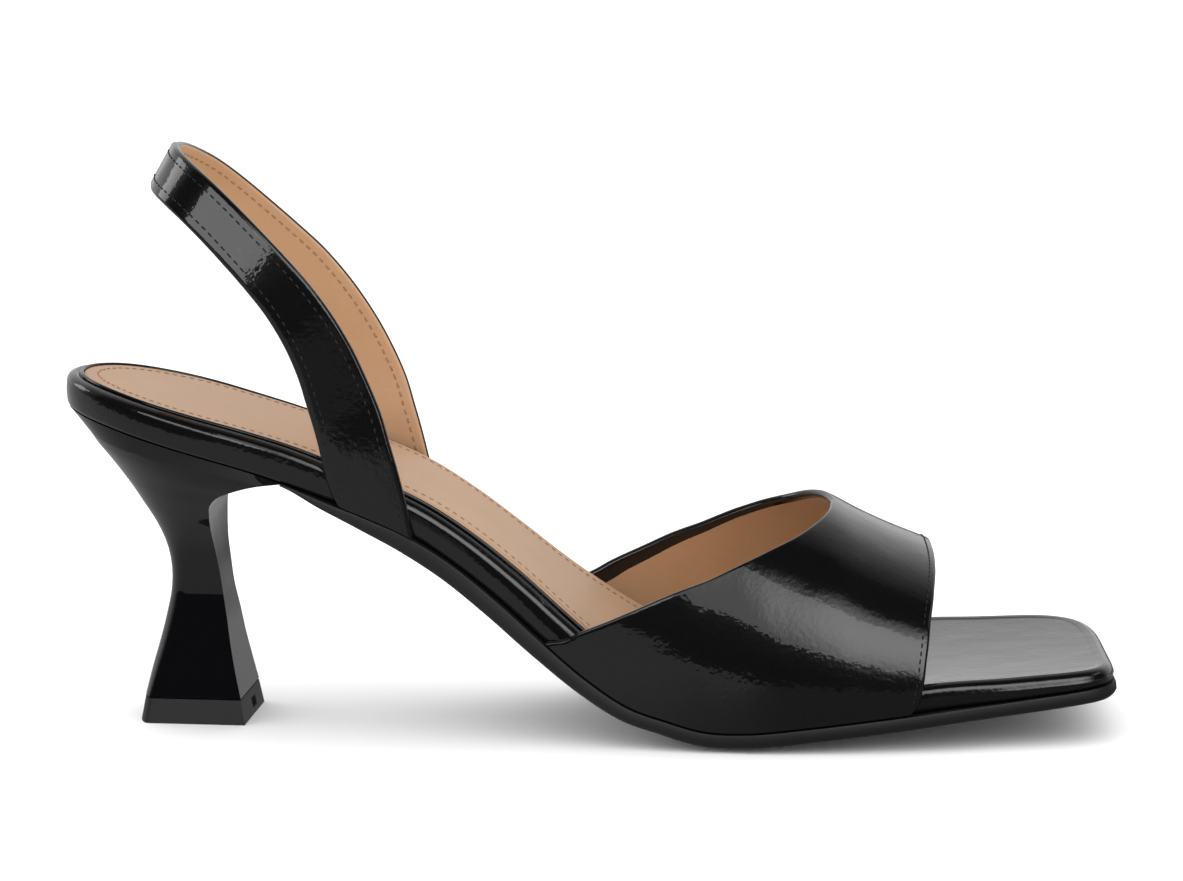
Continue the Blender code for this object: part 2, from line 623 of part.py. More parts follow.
def add_strap(leather):
    """Slingback strap: a flat band whose middle line climbs from the platform's side, goes
    round the back of the foot and comes down on the other side."""
    rows = len(STRAP)
    run = np.linspace(0, rows - 1, STRAP_ROWS + 1)
    numbered = np.column_stack([np.arange(rows), STRAP])
    columns = ["run"] + STRAP_COLUMNS
    row = {name: curve(numbered, columns, name, run) for name in STRAP_COLUMNS}
    both = []
    for name, sign in (("lateral", -1), ("medial", 1)):
        x = (row["along"] + (row["ahead"] if sign > 0 else 0)) * LENGTH - SEAT_SETBACK
        y = sign * row["out"] * STRAP_SPAN / 2
        both.append((name, sign, np.stack([x, y, row["height"] * STRAP_HEIGHT], -1)))
    shares = np.linspace(-0.5, 0.5, STRAP_ACROSS + 1)
    lean = np.radians(row["lean"])
    width = (row["width"] * STRAP_WIDTH)[:, None] * shares
    grids = []
    for name, sign, middle in both:
        points = np.repeat(middle[:, None], len(shares), 1)
        points[..., 0] += width * np.sin(lean)[:, None]
        points[..., 2] += width * np.cos(lean)[:, None]
        along = (points[..., 0] + SEAT_SETBACK) / LENGTH
        resting = side(name, along) + sign * (CLEARANCE + STRAP_WALL / 2)
        grip = row["grip"][:, None]
        points[..., 1] = points[..., 1] * (1 - grip) + resting * grip
        floor = under_height(points[..., 0], resting)
        points[..., 2] = np.where(grip > 0.5, np.maximum(points[..., 2], floor), points[..., 2])
        grids.append(points)
    middle = np.concatenate([grids[0], grids[1][-2::-1]])
    outer = off_surface(middle, -STRAP_WALL / 2)
    inner = off_surface(middle, STRAP_WALL / 2)
    shell = Shell("slingback_strap", leather)
    shell.grid(outer)
    shell.grid(inner)
    for edge in (0, -1):
        shell.grid([outer[edge], inner[edge]])
        shell.grid([outer[:, edge], inner[:, edge]])
    return shell.build()


def colour_of(hex_code):
    """Linear colour of an sRGB hex code."""
    values = [int(hex_code[i : i + 2], 16) / 255 for i in (1, 3, 5)]
    return [v / 12.92 if v <= 0.04045 else ((v + 0.055) / 1.055) ** 2.4 for v in values]


def material(name, hex_code, roughness, coat=0.0):
    made = bpy.data.materials.new(name)
    made.use_nodes = True
    shader = made.node_tree.nodes["Principled BSDF"]
    shader.inputs["Base Color"].default_value = (*colour_of(hex_code), 1.0)
    shader.inputs["Roughness"].default_value = roughness
    shader.inputs["Metallic"].default_value = 0.0
    shader.inputs["Coat Weight"].default_value = coat
    return made


def main():
    for old in list(bpy.data.objects):
        bpy.data.objects.remove(old)
    patent = material("black_patent_leather", "#101012", 0.12, 1.0)
    tan = material("tan_lining_leather", "#cfa47c", 0.5)
    rubber = material("black_outsole_rubber", "#1d1d1f", 0.7)
    lacquer = material("black_heel_lacquer", "#0c0c0e", 0.1, 1.0)
    lift = material("black_lift_rubber", "#17171a", 0.6)
    add_outsole(rubber)
    add_heel(lacquer)
    add_lift(lift)
    add_platform(patent)
    add_sock(tan)
    add_vamp(patent)
    add_strap(patent)


main()
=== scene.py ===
"""Studio picture of a right slingback sandal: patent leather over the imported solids.

Metres, +Z up, toe along +X, medial side +Y, origin in the middle of the heel lift's ground
face. Every piece that shows is a finer surface with the named sizes of its solid, some
table rows fitted closer to the picture, and with what the solids leave out: linings,
stitches, the piping round the sock, the folded edges and the lift's pocket.
"""

import bmesh
import bpy
import numpy as np
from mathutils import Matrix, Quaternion, Vector


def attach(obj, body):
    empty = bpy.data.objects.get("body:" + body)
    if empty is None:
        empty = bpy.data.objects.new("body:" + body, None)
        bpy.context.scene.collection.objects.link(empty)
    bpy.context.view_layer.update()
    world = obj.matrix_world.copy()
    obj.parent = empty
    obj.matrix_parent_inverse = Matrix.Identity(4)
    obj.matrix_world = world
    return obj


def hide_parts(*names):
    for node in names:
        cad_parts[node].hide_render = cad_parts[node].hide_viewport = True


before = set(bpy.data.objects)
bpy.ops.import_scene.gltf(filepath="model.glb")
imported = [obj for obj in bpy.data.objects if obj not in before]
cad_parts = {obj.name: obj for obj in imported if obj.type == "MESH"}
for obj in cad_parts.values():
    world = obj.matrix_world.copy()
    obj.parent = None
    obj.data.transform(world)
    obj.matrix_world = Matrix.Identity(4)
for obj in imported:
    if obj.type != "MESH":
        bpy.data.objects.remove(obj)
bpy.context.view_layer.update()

# Whole shoe
LENGTH = 0.2315  # platform, heel back to toe tip
BALL_WIDTH = 0.079  # platform across the ball
SEAT_SETBACK = 0.0303  # heel back behind the middle of the heel lift
PITCH = 0.0675  # platform top at the seat above platform top at the tread
TOE_SPRING = 0.0077
ARCH_LIFT = 0.0052  # medial edge above lateral edge at the waist
TREAD_CAMBER = 0.0015  # sole edges above the middle of the tread
CLEARANCE = 0.0003  # between touching pieces

# Layers
SOCK_THICKNESS = 0.0011
SOCK_END = 0.80  # share of the length where the sock ends, under the vamp
PLATFORM_THICKNESS = 0.0064
RIM_WIDTH = 0.0034  # covered rim that shows outside the sock
RIM_BEAD = 0.0011
EDGE_ROUND = 0.0022  # round of the platform's top edge
FOOT_ROUND = 0.0006  # the platform draws in where it meets what is under it
OUTSOLE_THICKNESS = 0.0030
OUTSOLE_BEVEL = 0.0011
OUTSOLE_MARGIN = 0.0004  # outsole outside what stands on it
TREAD_FLAT = 0.0005  # depth worn off the middle of the tread, which leaves its flat spot

# Outline of both ends
HEEL_CAP = 0.152  # share of the length that the round heel takes
HEEL_POWER = 2.0  # exponent of the round heel: 2 is an ellipse
TOE_CAP = 0.900  # share of the length where the square toe starts to round
TOE_POWER = {"lateral": 7.0, "medial": 3.6}

# Heel block and its lift
HEEL_TURN = np.radians(6.5)  # the heel points this much to the lateral side
BREAST = 0.223  # share of the length where the heel's breast meets the platform
HEEL_INSET = 0.0005  # heel's top edge inside the platform's edge
LIFT_THICKNESS = 0.0054
LIFT_LENGTH = 0.0235
LIFT_WIDTH = 0.0244
LIFT_FLARE = 0.0010  # on each side, top to bottom

# Upper
VAMP_WALL = 0.0017
VAMP_RISE = 0.0388  # crest of the throat above the platform's top
VAMP_POWER = 2.35  # exponent of the vamp's cross-section: 2 is an ellipse
STRAP_WALL = 0.0021
STRAP_WIDTH = 0.0150
STRAP_HEIGHT = 0.1240  # middle of the strap at the back of the foot, above the floor
STRAP_SPAN = 0.0570  # loop across the ankle, between the middles of its walls

# Trim and edges
PIPING_RADIUS = 0.00045
PIPING_OUT = 0.00005  # piping's middle outside the rim's foot
SOCK_SEAM = 0.0032  # seam inside the sock's edge
SOCK_ROUND = 0.7  # share of the sock's thickness that its turned edge takes
RIM_SHOULDER = 0.45  # share of the rim's width where the bead is highest
SIDE_FULLNESS = 0.00012  # how far the platform's side swells
OUTSOLE_ROUND = 0.0003  # round of the outsole's top edge
OUTSOLE_TUCK = 0.0006  # outsole under the heel's tip
HEEL_BEVEL = 0.0004
LIFT_BEVEL = 0.0002
BEVEL_ANGLE = 35.0  # degrees from which an edge gets a bevel
EDGE_FULLNESS = 0.8  # how far a wall's rounded edge stands out, by half the wall
FOLD_ROWS = 4  # rows of the vamp's lining side that the patent covers along the topline
STRAP_TILT = 6.5  # degrees that the strap's upper edge leans in towards the ankle
STRAP_EASE = 16  # passes of averaging where the strap comes down onto the platform's side
# The pocket in the lift's front face: how far to the medial side, its middle's height, and
# its two depths together, width and height
POCKET_ASIDE = 0.0020
POCKET_HEIGHT = 0.0024
POCKET_SIZE = (0.0040, 0.0044, 0.0023)

# Stitches: length, gap and thread radius in each seam
SOCK_STITCH = (0.0014, 0.0006, 0.00018)
VAMP_STITCH = (0.0013, 0.0005, 0.00017)
STRAP_STITCH = (0.0015, 0.0006, 0.00018)
STITCH_INSET = 0.0018  # seams inside the edges of the strap and of the vamp's toe edge
STITCH_RISE = 0.25  # height of a stitch's middle above the leather, by the thread's radius
STITCH_DIVE = 1.35  # how far its ends go down from there

# Rows around a piece and along it
ACROSS = 36
CORNER_STEPS = 14
SEAT_STEPS = 16
WAIST_STEPS = 36
BEND_STEPS = 40
FORE_STEPS = 40
BEND = (0.46, 0.62)  # shares of the length where the footbed bends most
HEEL_LEVELS = np.concatenate([np.linspace(0.055, 0.30, 30), np.linspace(0.31, 1.0, 56)])
VAMP_GRID = (90, 150)
VAMP_SEAM_GRID = (40, 300)
VAMP_COLUMN_EASE = 1.2  # above 1 draws the vamp's columns towards its seams
VAMP_BLEND = (0.44, 0.56)  # shares of the girth where the two sides of the topline meet
STRAP_GRID = (110, 24)
EDGE_STEPS = 8
EDGE_PATENT = 6  # steps of the strap's rounded edge that the patent covers

# Light and reflections. Brightness is 1 where white paper is in full light.
ROOM_LIGHT = 1.6  # surroundings as the paper and the leather see them
ROOM_REFLECTED = 0.015  # surroundings in reflections, at the camera's side
BACKGROUND_REFLECTED = 0.62  # and behind the shoe
ROOM_FADE = (0.02, 0.75)  # how far a direction points to the back, between the two
HEEL_PAINTED_REFLECTION = 0.40  # painted reflection: how bright the paper glows in reflections, beside the heel
TOE_PAINTED_REFLECTION = 0.14  # and beside the forefoot
PAINTED_REFLECTION_FADE = (0.06, 0.13)  # places along the shoe between which it changes
# A soft glow in front of the shoe, seen only in reflections: its bearing to the toe's side
# of the camera, its height and its reach, all in degrees, and its brightness
GLOW_BEARING = 32.0
GLOW_HEIGHT = 28.0
GLOW_REACH = 27.0
GLOW = 2.4
# Softboxes: name, place, the point it faces, its two sides, brightness and roll in degrees
SOFTBOXES = (
    ("softbox over the toe", (0.37, -0.95, 0.58), (0.12, -0.03, 0.03), (1.00, 0.66), 1.3, -25.0),
    ("softbox by the heel", (-0.22, -0.44, 0.34), (0.01, -0.02, 0.10), (0.52, 0.17), 2.8, -22.0),
    ("softbox at the right", (1.10, -0.10, 0.95), (0.05, 0.00, 0.03), (0.60, 0.25), 1.2, 0.0),
    ("softbox behind the heel", (-0.90, 0.45, 0.55), (0.00, 0.00, 0.06), (0.40, 0.40), 2.0, 0.0),
)
WHITE = (1.0, 1.0, 1.0, 1.0)
FLOOR_REACH = 9.0
CAMERA_LENS = 150.4
CAMERA_PLACE = (0.0864, -1.0843, 0.2472)
CAMERA_TARGET = (0.0864, 0.0, 0.0619)

# Sections of the footbed from heel back to toe tip. along is a share of LENGTH, rise of
# PITCH, spring of TOE_SPRING, lateral and medial of BALL_WIDTH, arch of ARCH_LIFT, camber of
# TREAD_CAMBER, board of PLATFORM_THICKNESS, bead of RIM_BEAD and sole of OUTSOLE_THICKNESS.
# seam is 1 where the upper's wall stands on the outsole.
FOOTBED_COLUMNS = "along rise spring lateral medial arch camber board bead sole seam".split()
FOOTBED = np.array((
    (0.000, 1.010, 0.00, -0.297, 0.362, 0.40, 0.0, 0.93, 1.00, 0.60, 0.0),
    (0.047, 0.979, 0.00, -0.310, 0.362, 0.36, 0.0, 0.93, 1.00, 0.60, 0.0),
    (0.090, 0.944, 0.00, -0.324, 0.356, 0.30, 0.0, 0.94, 1.00, 0.60, 0.0),
    (0.133, 0.907, 0.00, -0.338, 0.349, 0.22, 0.0, 0.95, 1.00, 0.60, 0.0),
    (0.176, 0.867, 0.00, -0.350, 0.338, 0.16, 0.0, 0.97, 0.95, 0.60, 0.0),
    (0.219, 0.824, 0.00, -0.359, 0.320, 0.18, 0.0, 0.99, 0.85, 0.20, 0.0),
    (0.262, 0.773, 0.00, -0.361, 0.297, 0.29, 0.0, 1.00, 0.65, 0.62, 0.8),
    (0.306, 0.717, 0.00, -0.356, 0.272, 0.42, 0.0, 1.00, 0.40, 1.00, 1.0),
    (0.349, 0.649, 0.00, -0.350, 0.249, 0.52, 0.0, 1.00, 0.20, 1.25, 0.8),
    (0.392, 0.553, 0.00, -0.349, 0.235, 0.60, 0.0, 1.00, 0.10, 1.30, 0.5),
    (0.435, 0.436, 0.00, -0.359, 0.231, 0.70, 0.1, 1.00, 0.10, 1.28, 0.8),
    (0.478, 0.307, 0.00, -0.380, 0.246, 0.86, 0.3, 1.00, 0.10, 1.20, 1.0),
    (0.521, 0.184, 0.00, -0.413, 0.288, 1.00, 0.6, 0.98, 0.10, 1.10, 1.0),
    (0.553, 0.104, 0.00, -0.440, 0.330, 0.90, 0.9, 0.96, 0.10, 1.05, 1.0),
    (0.583, 0.048, 0.00, -0.462, 0.370, 0.45, 1.0, 0.92, 0.10, 1.00, 1.0),
    (0.611, 0.009, 0.00, -0.479, 0.404, 0.15, 1.0, 0.89, 0.10, 1.00, 1.0),
    (0.650, 0.000, 0.00, -0.497, 0.449, 0.00, 1.0, 0.88, 0.10, 1.00, 1.0),
    (0.693, 0.000, 0.08, -0.501, 0.477, 0.00, 1.2, 0.88, 0.10, 1.00, 1.0),
    (0.736, 0.000, 0.27, -0.495, 0.486, 0.00, 1.0, 0.89, 0.10, 1.00, 1.0),
    (0.780, 0.000, 0.44, -0.482, 0.482, 0.00, 0.9, 0.90, 0.10, 1.00, 1.0),
    (0.832, 0.000, 0.61, -0.464, 0.468, 0.00, 0.9, 0.88, 0.10, 1.00, 1.0),
    (0.888, 0.000, 0.70, -0.443, 0.450, 0.00, 0.8, 0.76, 0.10, 1.00, 0.3),
    (0.931, 0.000, 0.79, -0.425, 0.436, 0.00, 0.7, 0.68, 0.10, 1.00, 0.1),
    (0.965, 0.000, 0.88, -0.412, 0.425, 0.00, 0.6, 0.61, 0.10, 1.00, 0.0),
    (1.000, 0.000, 1.00, -0.394, 0.406, 0.00, 0.5, 0.56, 0.10, 1.00, 0.0),
))

# Sections of the heel block below its top edge. down is a share of the way from the
# platform to the lift, back and front are shares of LIFT_LENGTH from the heel's axis, and
# half is a share of LIFT_WIDTH. level is 0 where the section lies along the platform and
# 1 where it is level. corner is the share of the half width that a back corner takes.
HEEL_COLUMNS = "down back front half level corner".split()
HEEL_SECTIONS = np.array((
    (0.020, -1.190, 0.760, 1.060, 0.00, 1.00),
    (0.045, -1.110, 0.660, 1.015, 0.06, 1.00),
    (0.090, -1.000, 0.490, 0.950, 0.18, 1.00),
    (0.130, -0.890, 0.350, 0.885, 0.28, 1.00),
    (0.165, -0.800, 0.240, 0.815, 0.38, 0.99),
    (0.210, -0.695, 0.160, 0.730, 0.50, 0.97),
    (0.270, -0.580, 0.140, 0.610, 0.62, 0.94),
    (0.340, -0.455, 0.145, 0.475, 0.78, 0.88),
    (0.420, -0.360, 0.165, 0.350, 0.92, 0.80),
    (0.500, -0.315, 0.195, 0.298, 1.00, 0.70),
    (0.600, -0.315, 0.230, 0.285, 1.00, 0.60),
    (0.700, -0.362, 0.275, 0.335, 1.00, 0.50),
    (0.800, -0.423, 0.315, 0.380, 1.00, 0.40),
    (0.900, -0.491, 0.365, 0.430, 1.00, 0.32),
    (1.000, -0.551, 0.420, 0.465, 1.00, 0.25),
))

# The vamp's two long edges, from the seam at the sole over the foot to the crest. girth is
# the share of the half turn from one seam to the other. lateral and medial say where the
# topline is and front where the toe edge is, as shares of LENGTH.
VAMP_COLUMNS = "girth lateral medial front".split()
VAMP_EDGES = np.array((
    (0.000, 0.458, 0.464, 0.806),
    (0.013, 0.474, 0.484, 0.812),
    (0.034, 0.490, 0.503, 0.815),
    (0.055, 0.507, 0.518, 0.817),
    (0.092, 0.537, 0.545, 0.819),
    (0.144, 0.583, 0.582, 0.822),
    (0.189, 0.620, 0.615, 0.824),
    (0.257, 0.668, 0.663, 0.828),
    (0.300, 0.692, 0.688, 0.830),
    (0.368, 0.717, 0.713, 0.833),
    (0.442, 0.731, 0.729, 0.834),
    (0.500, 0.735, 0.735, 0.834),
))
# The vamp's crest: its height above the platform's top, as a share of VAMP_RISE.
CREST_COLUMNS = "along rise".split()
CREST = np.array((
    (0.40, 1.12),
    (0.50, 1.29),
    (0.60, 1.35),
    (0.66, 1.22),
    (0.70, 1.105),
    (0.733, 1.000),
    (0.765, 0.872),
    (0.795, 0.766),
    (0.830, 0.658),
))

# The slingback strap from its end on the platform's side to the middle of the back. along
# is a share of LENGTH, height of STRAP_HEIGHT and width of STRAP_WIDTH; lean tips the
# width from upright towards the toe, in degrees; out is a share of half the STRAP_SPAN;
# grip is 1 where the strap lies on the platform's side; ahead moves the medial side
# towards the toe, as a share of LENGTH.
STRAP_COLUMNS = "along height width lean out grip ahead".split()
STRAP = np.array((
    (0.3015, 0.393, 1.22, 116.0, 1.000, 1.0, 0.016),
    (0.2930, 0.452, 1.09, 95.0, 1.000, 1.0, 0.016),
    (0.2845, 0.512, 1.02, 78.0, 1.000, 0.8, 0.016),
    (0.2765, 0.568, 1.00, 73.0, 1.000, 0.4, 0.015),
    (0.2655, 0.626, 0.95, 67.0, 1.000, 0.1, 0.013),
    (0.2544, 0.679, 0.89, 61.0, 1.000, 0.0, 0.010),
    (0.2389, 0.735, 0.83, 55.0, 1.000, 0.0, 0.007),
    (0.2199, 0.788, 0.78, 50.0, 0.995, 0.0, 0.004),
    (0.1993, 0.834, 0.75, 47.0, 0.975, 0.0, 0.000),
    (0.1763, 0.880, 0.73, 45.0, 0.930, 0.0, -0.003),
    (0.1545, 0.920, 0.72, 43.0, 0.850, 0.0, -0.004),
    (0.1335, 0.954, 0.72, 40.0, 0.730, 0.0, -0.004),
    (0.1155, 0.978, 0.72, 37.0, 0.550, 0.0, -0.003),
    (0.1030, 0.992, 0.73, 32.0, 0.300, 0.0, -0.001),
    (0.0985, 0.997, 0.73, 29.0, 0.000, 0.0, 0.000),
))


def curve(table, columns, name, at):
    """Smooth curve through one column over the first one: cubic between rows, with the
    slope at each row taken from its two neighbours."""
    x, y = table[:, 0], table[:, columns.index(name)]
    slope = np.gradient(y, x)
    at = np.clip(at, x[0], x[-1])
    i = np.clip(np.searchsorted(x, at, side="right") - 1, 0, len(x) - 2)
    step = x[i + 1] - x[i]
    t = (at - x[i]) / step
    return (
        (2 * t**3 - 3 * t**2 + 1) * y[i]
        + (t**3 - 2 * t**2 + t) * step * slope[i]
        + (3 * t**2 - 2 * t**3) * y[i + 1]
        + (t**3 - t**2) * step * slope[i + 1]
    )


def footbed(name, along):
    return curve(FOOTBED, FOOTBED_COLUMNS, name, along)


def board(along):
    """Thickness of the platform."""
    return PLATFORM_THICKNESS * footbed("board", along)


def bead(along):
    """Height of the rim's bead above the platform's top."""
    return RIM_BEAD * footbed("bead", along)


def sole(along):
    """Thickness of the outsole."""
    return OUTSOLE_THICKNESS * footbed("sole", along)


def crest_line(along):
    """Height of the middle of the platform's top above the floor."""
    flattest = 0.625
    tread = sole(flattest) + CLEARANCE + board(flattest) - TREAD_FLAT
    return tread + PITCH * footbed("rise", along) + TOE_SPRING * footbed("spring", along)


def slope_at(along):
    step = 1e-4
    return (crest_line(along + step) - crest_line(along - step)) / (2 * step * LENGTH)


def top_height(along, y):
    """Height above the floor of the platform's top at a plan position: the middle's
    height, tipped up on the medial side at the arch and cupped up at both edges."""
    lateral = footbed("lateral", along) * BALL_WIDTH
    medial = footbed("medial", along) * BALL_WIDTH
    across = (y - (lateral + medial) / 2) / ((medial - lateral) / 2)
    tipped = crest_line(along) + ARCH_LIFT * footbed("arch", along) * across / 2
    return tipped + TREAD_CAMBER * footbed("camber", along) * across**2


def lay(along, y, height):
    """Points of the bent footbed: along is a share of the length, y is measured across in
    metres, and height is measured square to the platform's top, or upright at the seat."""
    along, y, height = np.broadcast_arrays(*(np.asarray(v, float) for v in (along, y, height)))
    lean = slope_at(along) * np.clip(along / BREAST, 0, 1)
    square = np.sqrt(1 + lean**2)
    x = along * LENGTH - SEAT_SETBACK - height * lean / square
    return np.stack([x, y, top_height(along, y) + height / square], -1)


def under_place(x, y):
    """Share of the length whose underside lies over a place in the shoe, found by stepping
    along the footbed towards it."""
    along = (x + SEAT_SETBACK) / LENGTH
    for _ in range(20):
        miss = x - lay(along, y, -board(along))[..., 0]
        along = np.clip(along + 0.7 * miss / LENGTH, 0, 1)
    return along


def under_height(x, y):
    """Height above the floor of the platform's underside at a place in the shoe."""
    along = under_place(x, y)
    return lay(along, y, -board(along))[..., 2]


def side(name, along):
    """Distance from the length's middle line to one side of the platform: a smooth side
    whose ends are drawn in by a superellipse each."""
    back = np.clip((HEEL_CAP - along) / HEEL_CAP, 0, 1)
    front = np.clip((along - TOE_CAP) / (1 - TOE_CAP), 0, 1)
    cap = (1 - back**HEEL_POWER) ** (1 / HEEL_POWER)
    cap = cap * (1 - front ** TOE_POWER[name]) ** (1 / TOE_POWER[name])
    middle = (footbed("lateral", along) + footbed("medial", along)) / 2
    return BALL_WIDTH * (middle + (footbed(name, along) - middle) * cap)


def shared_rows(first, last):
    """Rows that all pieces share between two places, as shares of the length, so that
    pieces that lie on each other bend at the same lines."""
    shared = np.concatenate([
        np.linspace(HEEL_CAP, BREAST, SEAT_STEPS + 1)[1:],
        np.linspace(BREAST, BEND[0], WAIST_STEPS + 1)[1:],
        np.linspace(*BEND, BEND_STEPS + 1)[1:],
        np.linspace(BEND[1], TOE_CAP, FORE_STEPS + 1)[1:],
    ])
    nearest = 0.3 * (TOE_CAP - BEND[1]) / FORE_STEPS
    return np.concatenate([
        [first], shared[(shared > first + nearest) & (shared < last - nearest)], [last],
    ])


def stations(name, first, last):
    """Shares of the length along one side: the shared rows, and closer ones where a round
    end turns in."""
    turn = np.linspace(np.pi / 4, np.pi / 2, CORNER_STEPS + 1)
    parts = [shared_rows(max(first, HEEL_CAP), min(last, TOE_CAP))]
    if first < HEEL_CAP:
        parts.insert(0, HEEL_CAP * (1 - np.cos(turn[:-1]) ** (2 / HEEL_POWER)))
    if last > TOE_CAP:
        reach = np.cos(turn[-2::-1]) ** (2 / TOE_POWER[name])
        parts.append(TOE_CAP + (1 - TOE_CAP) * reach)
    return np.concatenate(parts)


def end_row(last, toe):
    """The row of points that closes one end, from the lateral to the medial side. A round
    end follows its superellipses and a cut one is straight."""
    shares = np.linspace(-1, 1, ACROSS + 1)
    straight = last < TOE_CAP if toe else last > HEEL_CAP
    if straight:
        along = np.full(ACROSS + 1, last)
    elif toe:
        power = np.where(shares < 0, TOE_POWER["lateral"], TOE_POWER["medial"])
        reach = (1 - np.abs(shares * 0.5 ** (1 / power)) ** power) ** (1 / power)
        along = TOE_CAP + (1 - TOE_CAP) * reach
    else:
        along = HEEL_CAP * (1 - np.cos(shares * np.pi / 4) ** (2 / HEEL_POWER))
    lateral, medial = side("lateral", along), side("medial", along)
    middle = (footbed("lateral", along) + footbed("medial", along)) / 2 * BALL_WIDTH
    y = np.where(shares < 0, lateral, np.where(shares > 0, medial, middle))
    if straight:
        y = lateral + (medial - lateral) * (shares + 1) / 2
    return np.stack([along * LENGTH, y], -1)


def outline(first=0.0, last=1.0):
    """The platform's outline in plan, as (distance from the heel back, y): the lateral
    side to the toe, the toe, the medial side back and the heel end, without repeats."""
    sides = {}
    for name in ("lateral", "medial"):
        along = stations(name, first, last)
        sides[name] = np.stack([along * LENGTH, side(name, along)], -1)
    ends = [end_row(sides["lateral"][i, 0] / LENGTH, i == -1) for i in (0, -1)]
    return np.concatenate([
        sides["lateral"], ends[1][1:-1], sides["medial"][::-1], ends[0][-2:0:-1],
    ])


def unit(vectors):
    return vectors / np.maximum(np.linalg.norm(vectors, axis=-1, keepdims=True), 1e-12)


def moved_out(loop, distance):
    """The closed plan outline moved square to itself, outwards where distance is above 0."""
    both = unit(loop - np.roll(loop, 1, 0)) + unit(np.roll(loop, -1, 0) - loop)
    normal = np.stack([both[:, 1], -both[:, 0]], -1)
    length = np.maximum(np.linalg.norm(normal, axis=1, keepdims=True), 1.2)
    distance = np.broadcast_to(np.asarray(distance, float), (len(loop),))
    return loop + 2 * normal / length**2 * distance[:, None]


def patch(loop):
    """Grid inside a closed outline, blended from its four sides: the ruled surface between
    the sides plus the one between the ends, less the one between the corners."""
    rows = (len(loop) - 2 * ACROSS) // 2
    lateral = loop[: rows + 1]
    front = loop[rows : rows + ACROSS + 1]
    medial = loop[rows + ACROSS : 2 * rows + ACROSS + 1][::-1]
    back = np.concatenate([loop[2 * rows + ACROSS :], loop[:1]])[::-1]
    u = np.linspace(0, 1, rows + 1)[:, None, None]
    v = np.linspace(0, 1, ACROSS + 1)[None, :, None]
    between_sides = (1 - v) * lateral[:, None] + v * medial[:, None]
    between_ends = (1 - u) * back[None] + u * front[None]
    corners = (1 - u) * ((1 - v) * back[0] + v * back[-1])
    corners = corners + u * ((1 - v) * front[0] + v * front[-1])
    return between_sides + between_ends - corners


def laid(plan, height_at):
    """Plan points laid on the footbed, at a height given by their place along it."""
    along = plan[..., 0] / LENGTH
    return lay(along, plan[..., 1], height_at(along))


def seam_reach(along):
    """How far the outsole stands outside the platform: past the upper's wall on a seam."""
    return OUTSOLE_MARGIN + (CLEARANCE + VAMP_WALL) * footbed("seam", along)


def seat_height(along):
    """Top of what lies under the platform, below the platform's own top."""
    return -board(along) - CLEARANCE


def bevel(along):
    """Height of the outsole's bevelled foot edge."""
    return OUTSOLE_BEVEL * np.minimum(footbed("sole", along), 1.0)


def with_cut(moved, plan, cut):
    """Keeps the straight end of an outline where it was cut."""
    moved = moved.copy()
    moved[cut, 0] = plan[cut, 0]
    return moved


def grounded(points):
    """Nothing reaches below the floor, which leaves the tread's flat spot."""
    points = points.copy()
    points[..., 2] = np.maximum(points[..., 2], 0.0)
    return points


def turned(x, y, turn=HEEL_TURN):
    """Plan places turned about the heel's axis, towards the lateral side."""
    return x * np.cos(turn) + y * np.sin(turn), y * np.cos(turn) - x * np.sin(turn)


def heel_ring(back, front, half, corner, turn=HEEL_TURN):
    """Section of the heel in plan: a back with two rounded corners, and straight sides and
    breast, with as many points as the platform's outline above it, turned on its axis."""

    def round_back(angle):
        x = back + corner * half * (1 - np.cos(angle))
        return np.stack([x, half * np.sin(angle)], -1)

    steep = np.linspace(np.pi / 4, np.pi / 2, CORNER_STEPS + 1)
    shallow = np.linspace(-np.pi / 4, np.pi / 4, ACROSS + 1)
    straight = np.linspace((back + corner * half, half), (front, half), SEAT_STEPS + 1)
    medial = np.concatenate([round_back(steep[:-1]), straight])
    breast = np.linspace((front, -half), (front, half), ACROSS + 1)
    local = np.concatenate([
        medial * (1, -1), breast[1:-1], medial[::-1], round_back(shallow)[-2:0:-1],
    ])
    return np.stack(turned(*local.T, turn), -1)


def heel_at(down):
    """Back, front and half width in metres, level and corner of the heel at one height."""
    back, front, half, level, corner = (
        curve(HEEL_SECTIONS, HEEL_COLUMNS, name, down) for name in HEEL_COLUMNS[1:]
    )
    return back * LIFT_LENGTH, front * LIFT_LENGTH, half * LIFT_WIDTH, level, corner


def vamp_surface(along, turn):
    """Outer face of the vamp: at each place along the foot half a superellipse, from the
    lateral seam at turn 0 to the medial seam at turn pi, over the crest."""
    x = along * LENGTH - SEAT_SETBACK
    wall = CLEARANCE + VAMP_WALL
    foot = np.maximum(along, under_place(x, side("lateral", along)))
    lateral, medial = side("lateral", foot) - wall, side("medial", foot) + wall
    middle, half = (lateral + medial) / 2, (medial - lateral) / 2
    y = middle - half * np.sign(np.cos(turn)) * np.abs(np.cos(turn)) ** (2 / VAMP_POWER)
    crest = crest_line(along) + VAMP_RISE * curve(CREST, CREST_COLUMNS, "rise", along)
    seam = under_height(x, np.where(turn < np.pi / 2, lateral, medial))
    rise = np.abs(np.sin(turn)) ** (2 / VAMP_POWER)
    return np.stack([x, y, seam * (1 - rise) + crest * rise], -1)


def off_surface(points, distance):
    """A grid of points moved square to its own surface, towards the side from which going
    from its rows' direction to its columns' is an anticlockwise turn."""
    normal = unit(np.cross(np.gradient(points, axis=0), np.gradient(points, axis=1)))
    return points + normal * distance


# Meshes


def linked(name, data):
    """A new object with its data, put in the scene."""
    made = bpy.data.objects.new(name, data)
    bpy.context.scene.collection.objects.link(made)
    return made


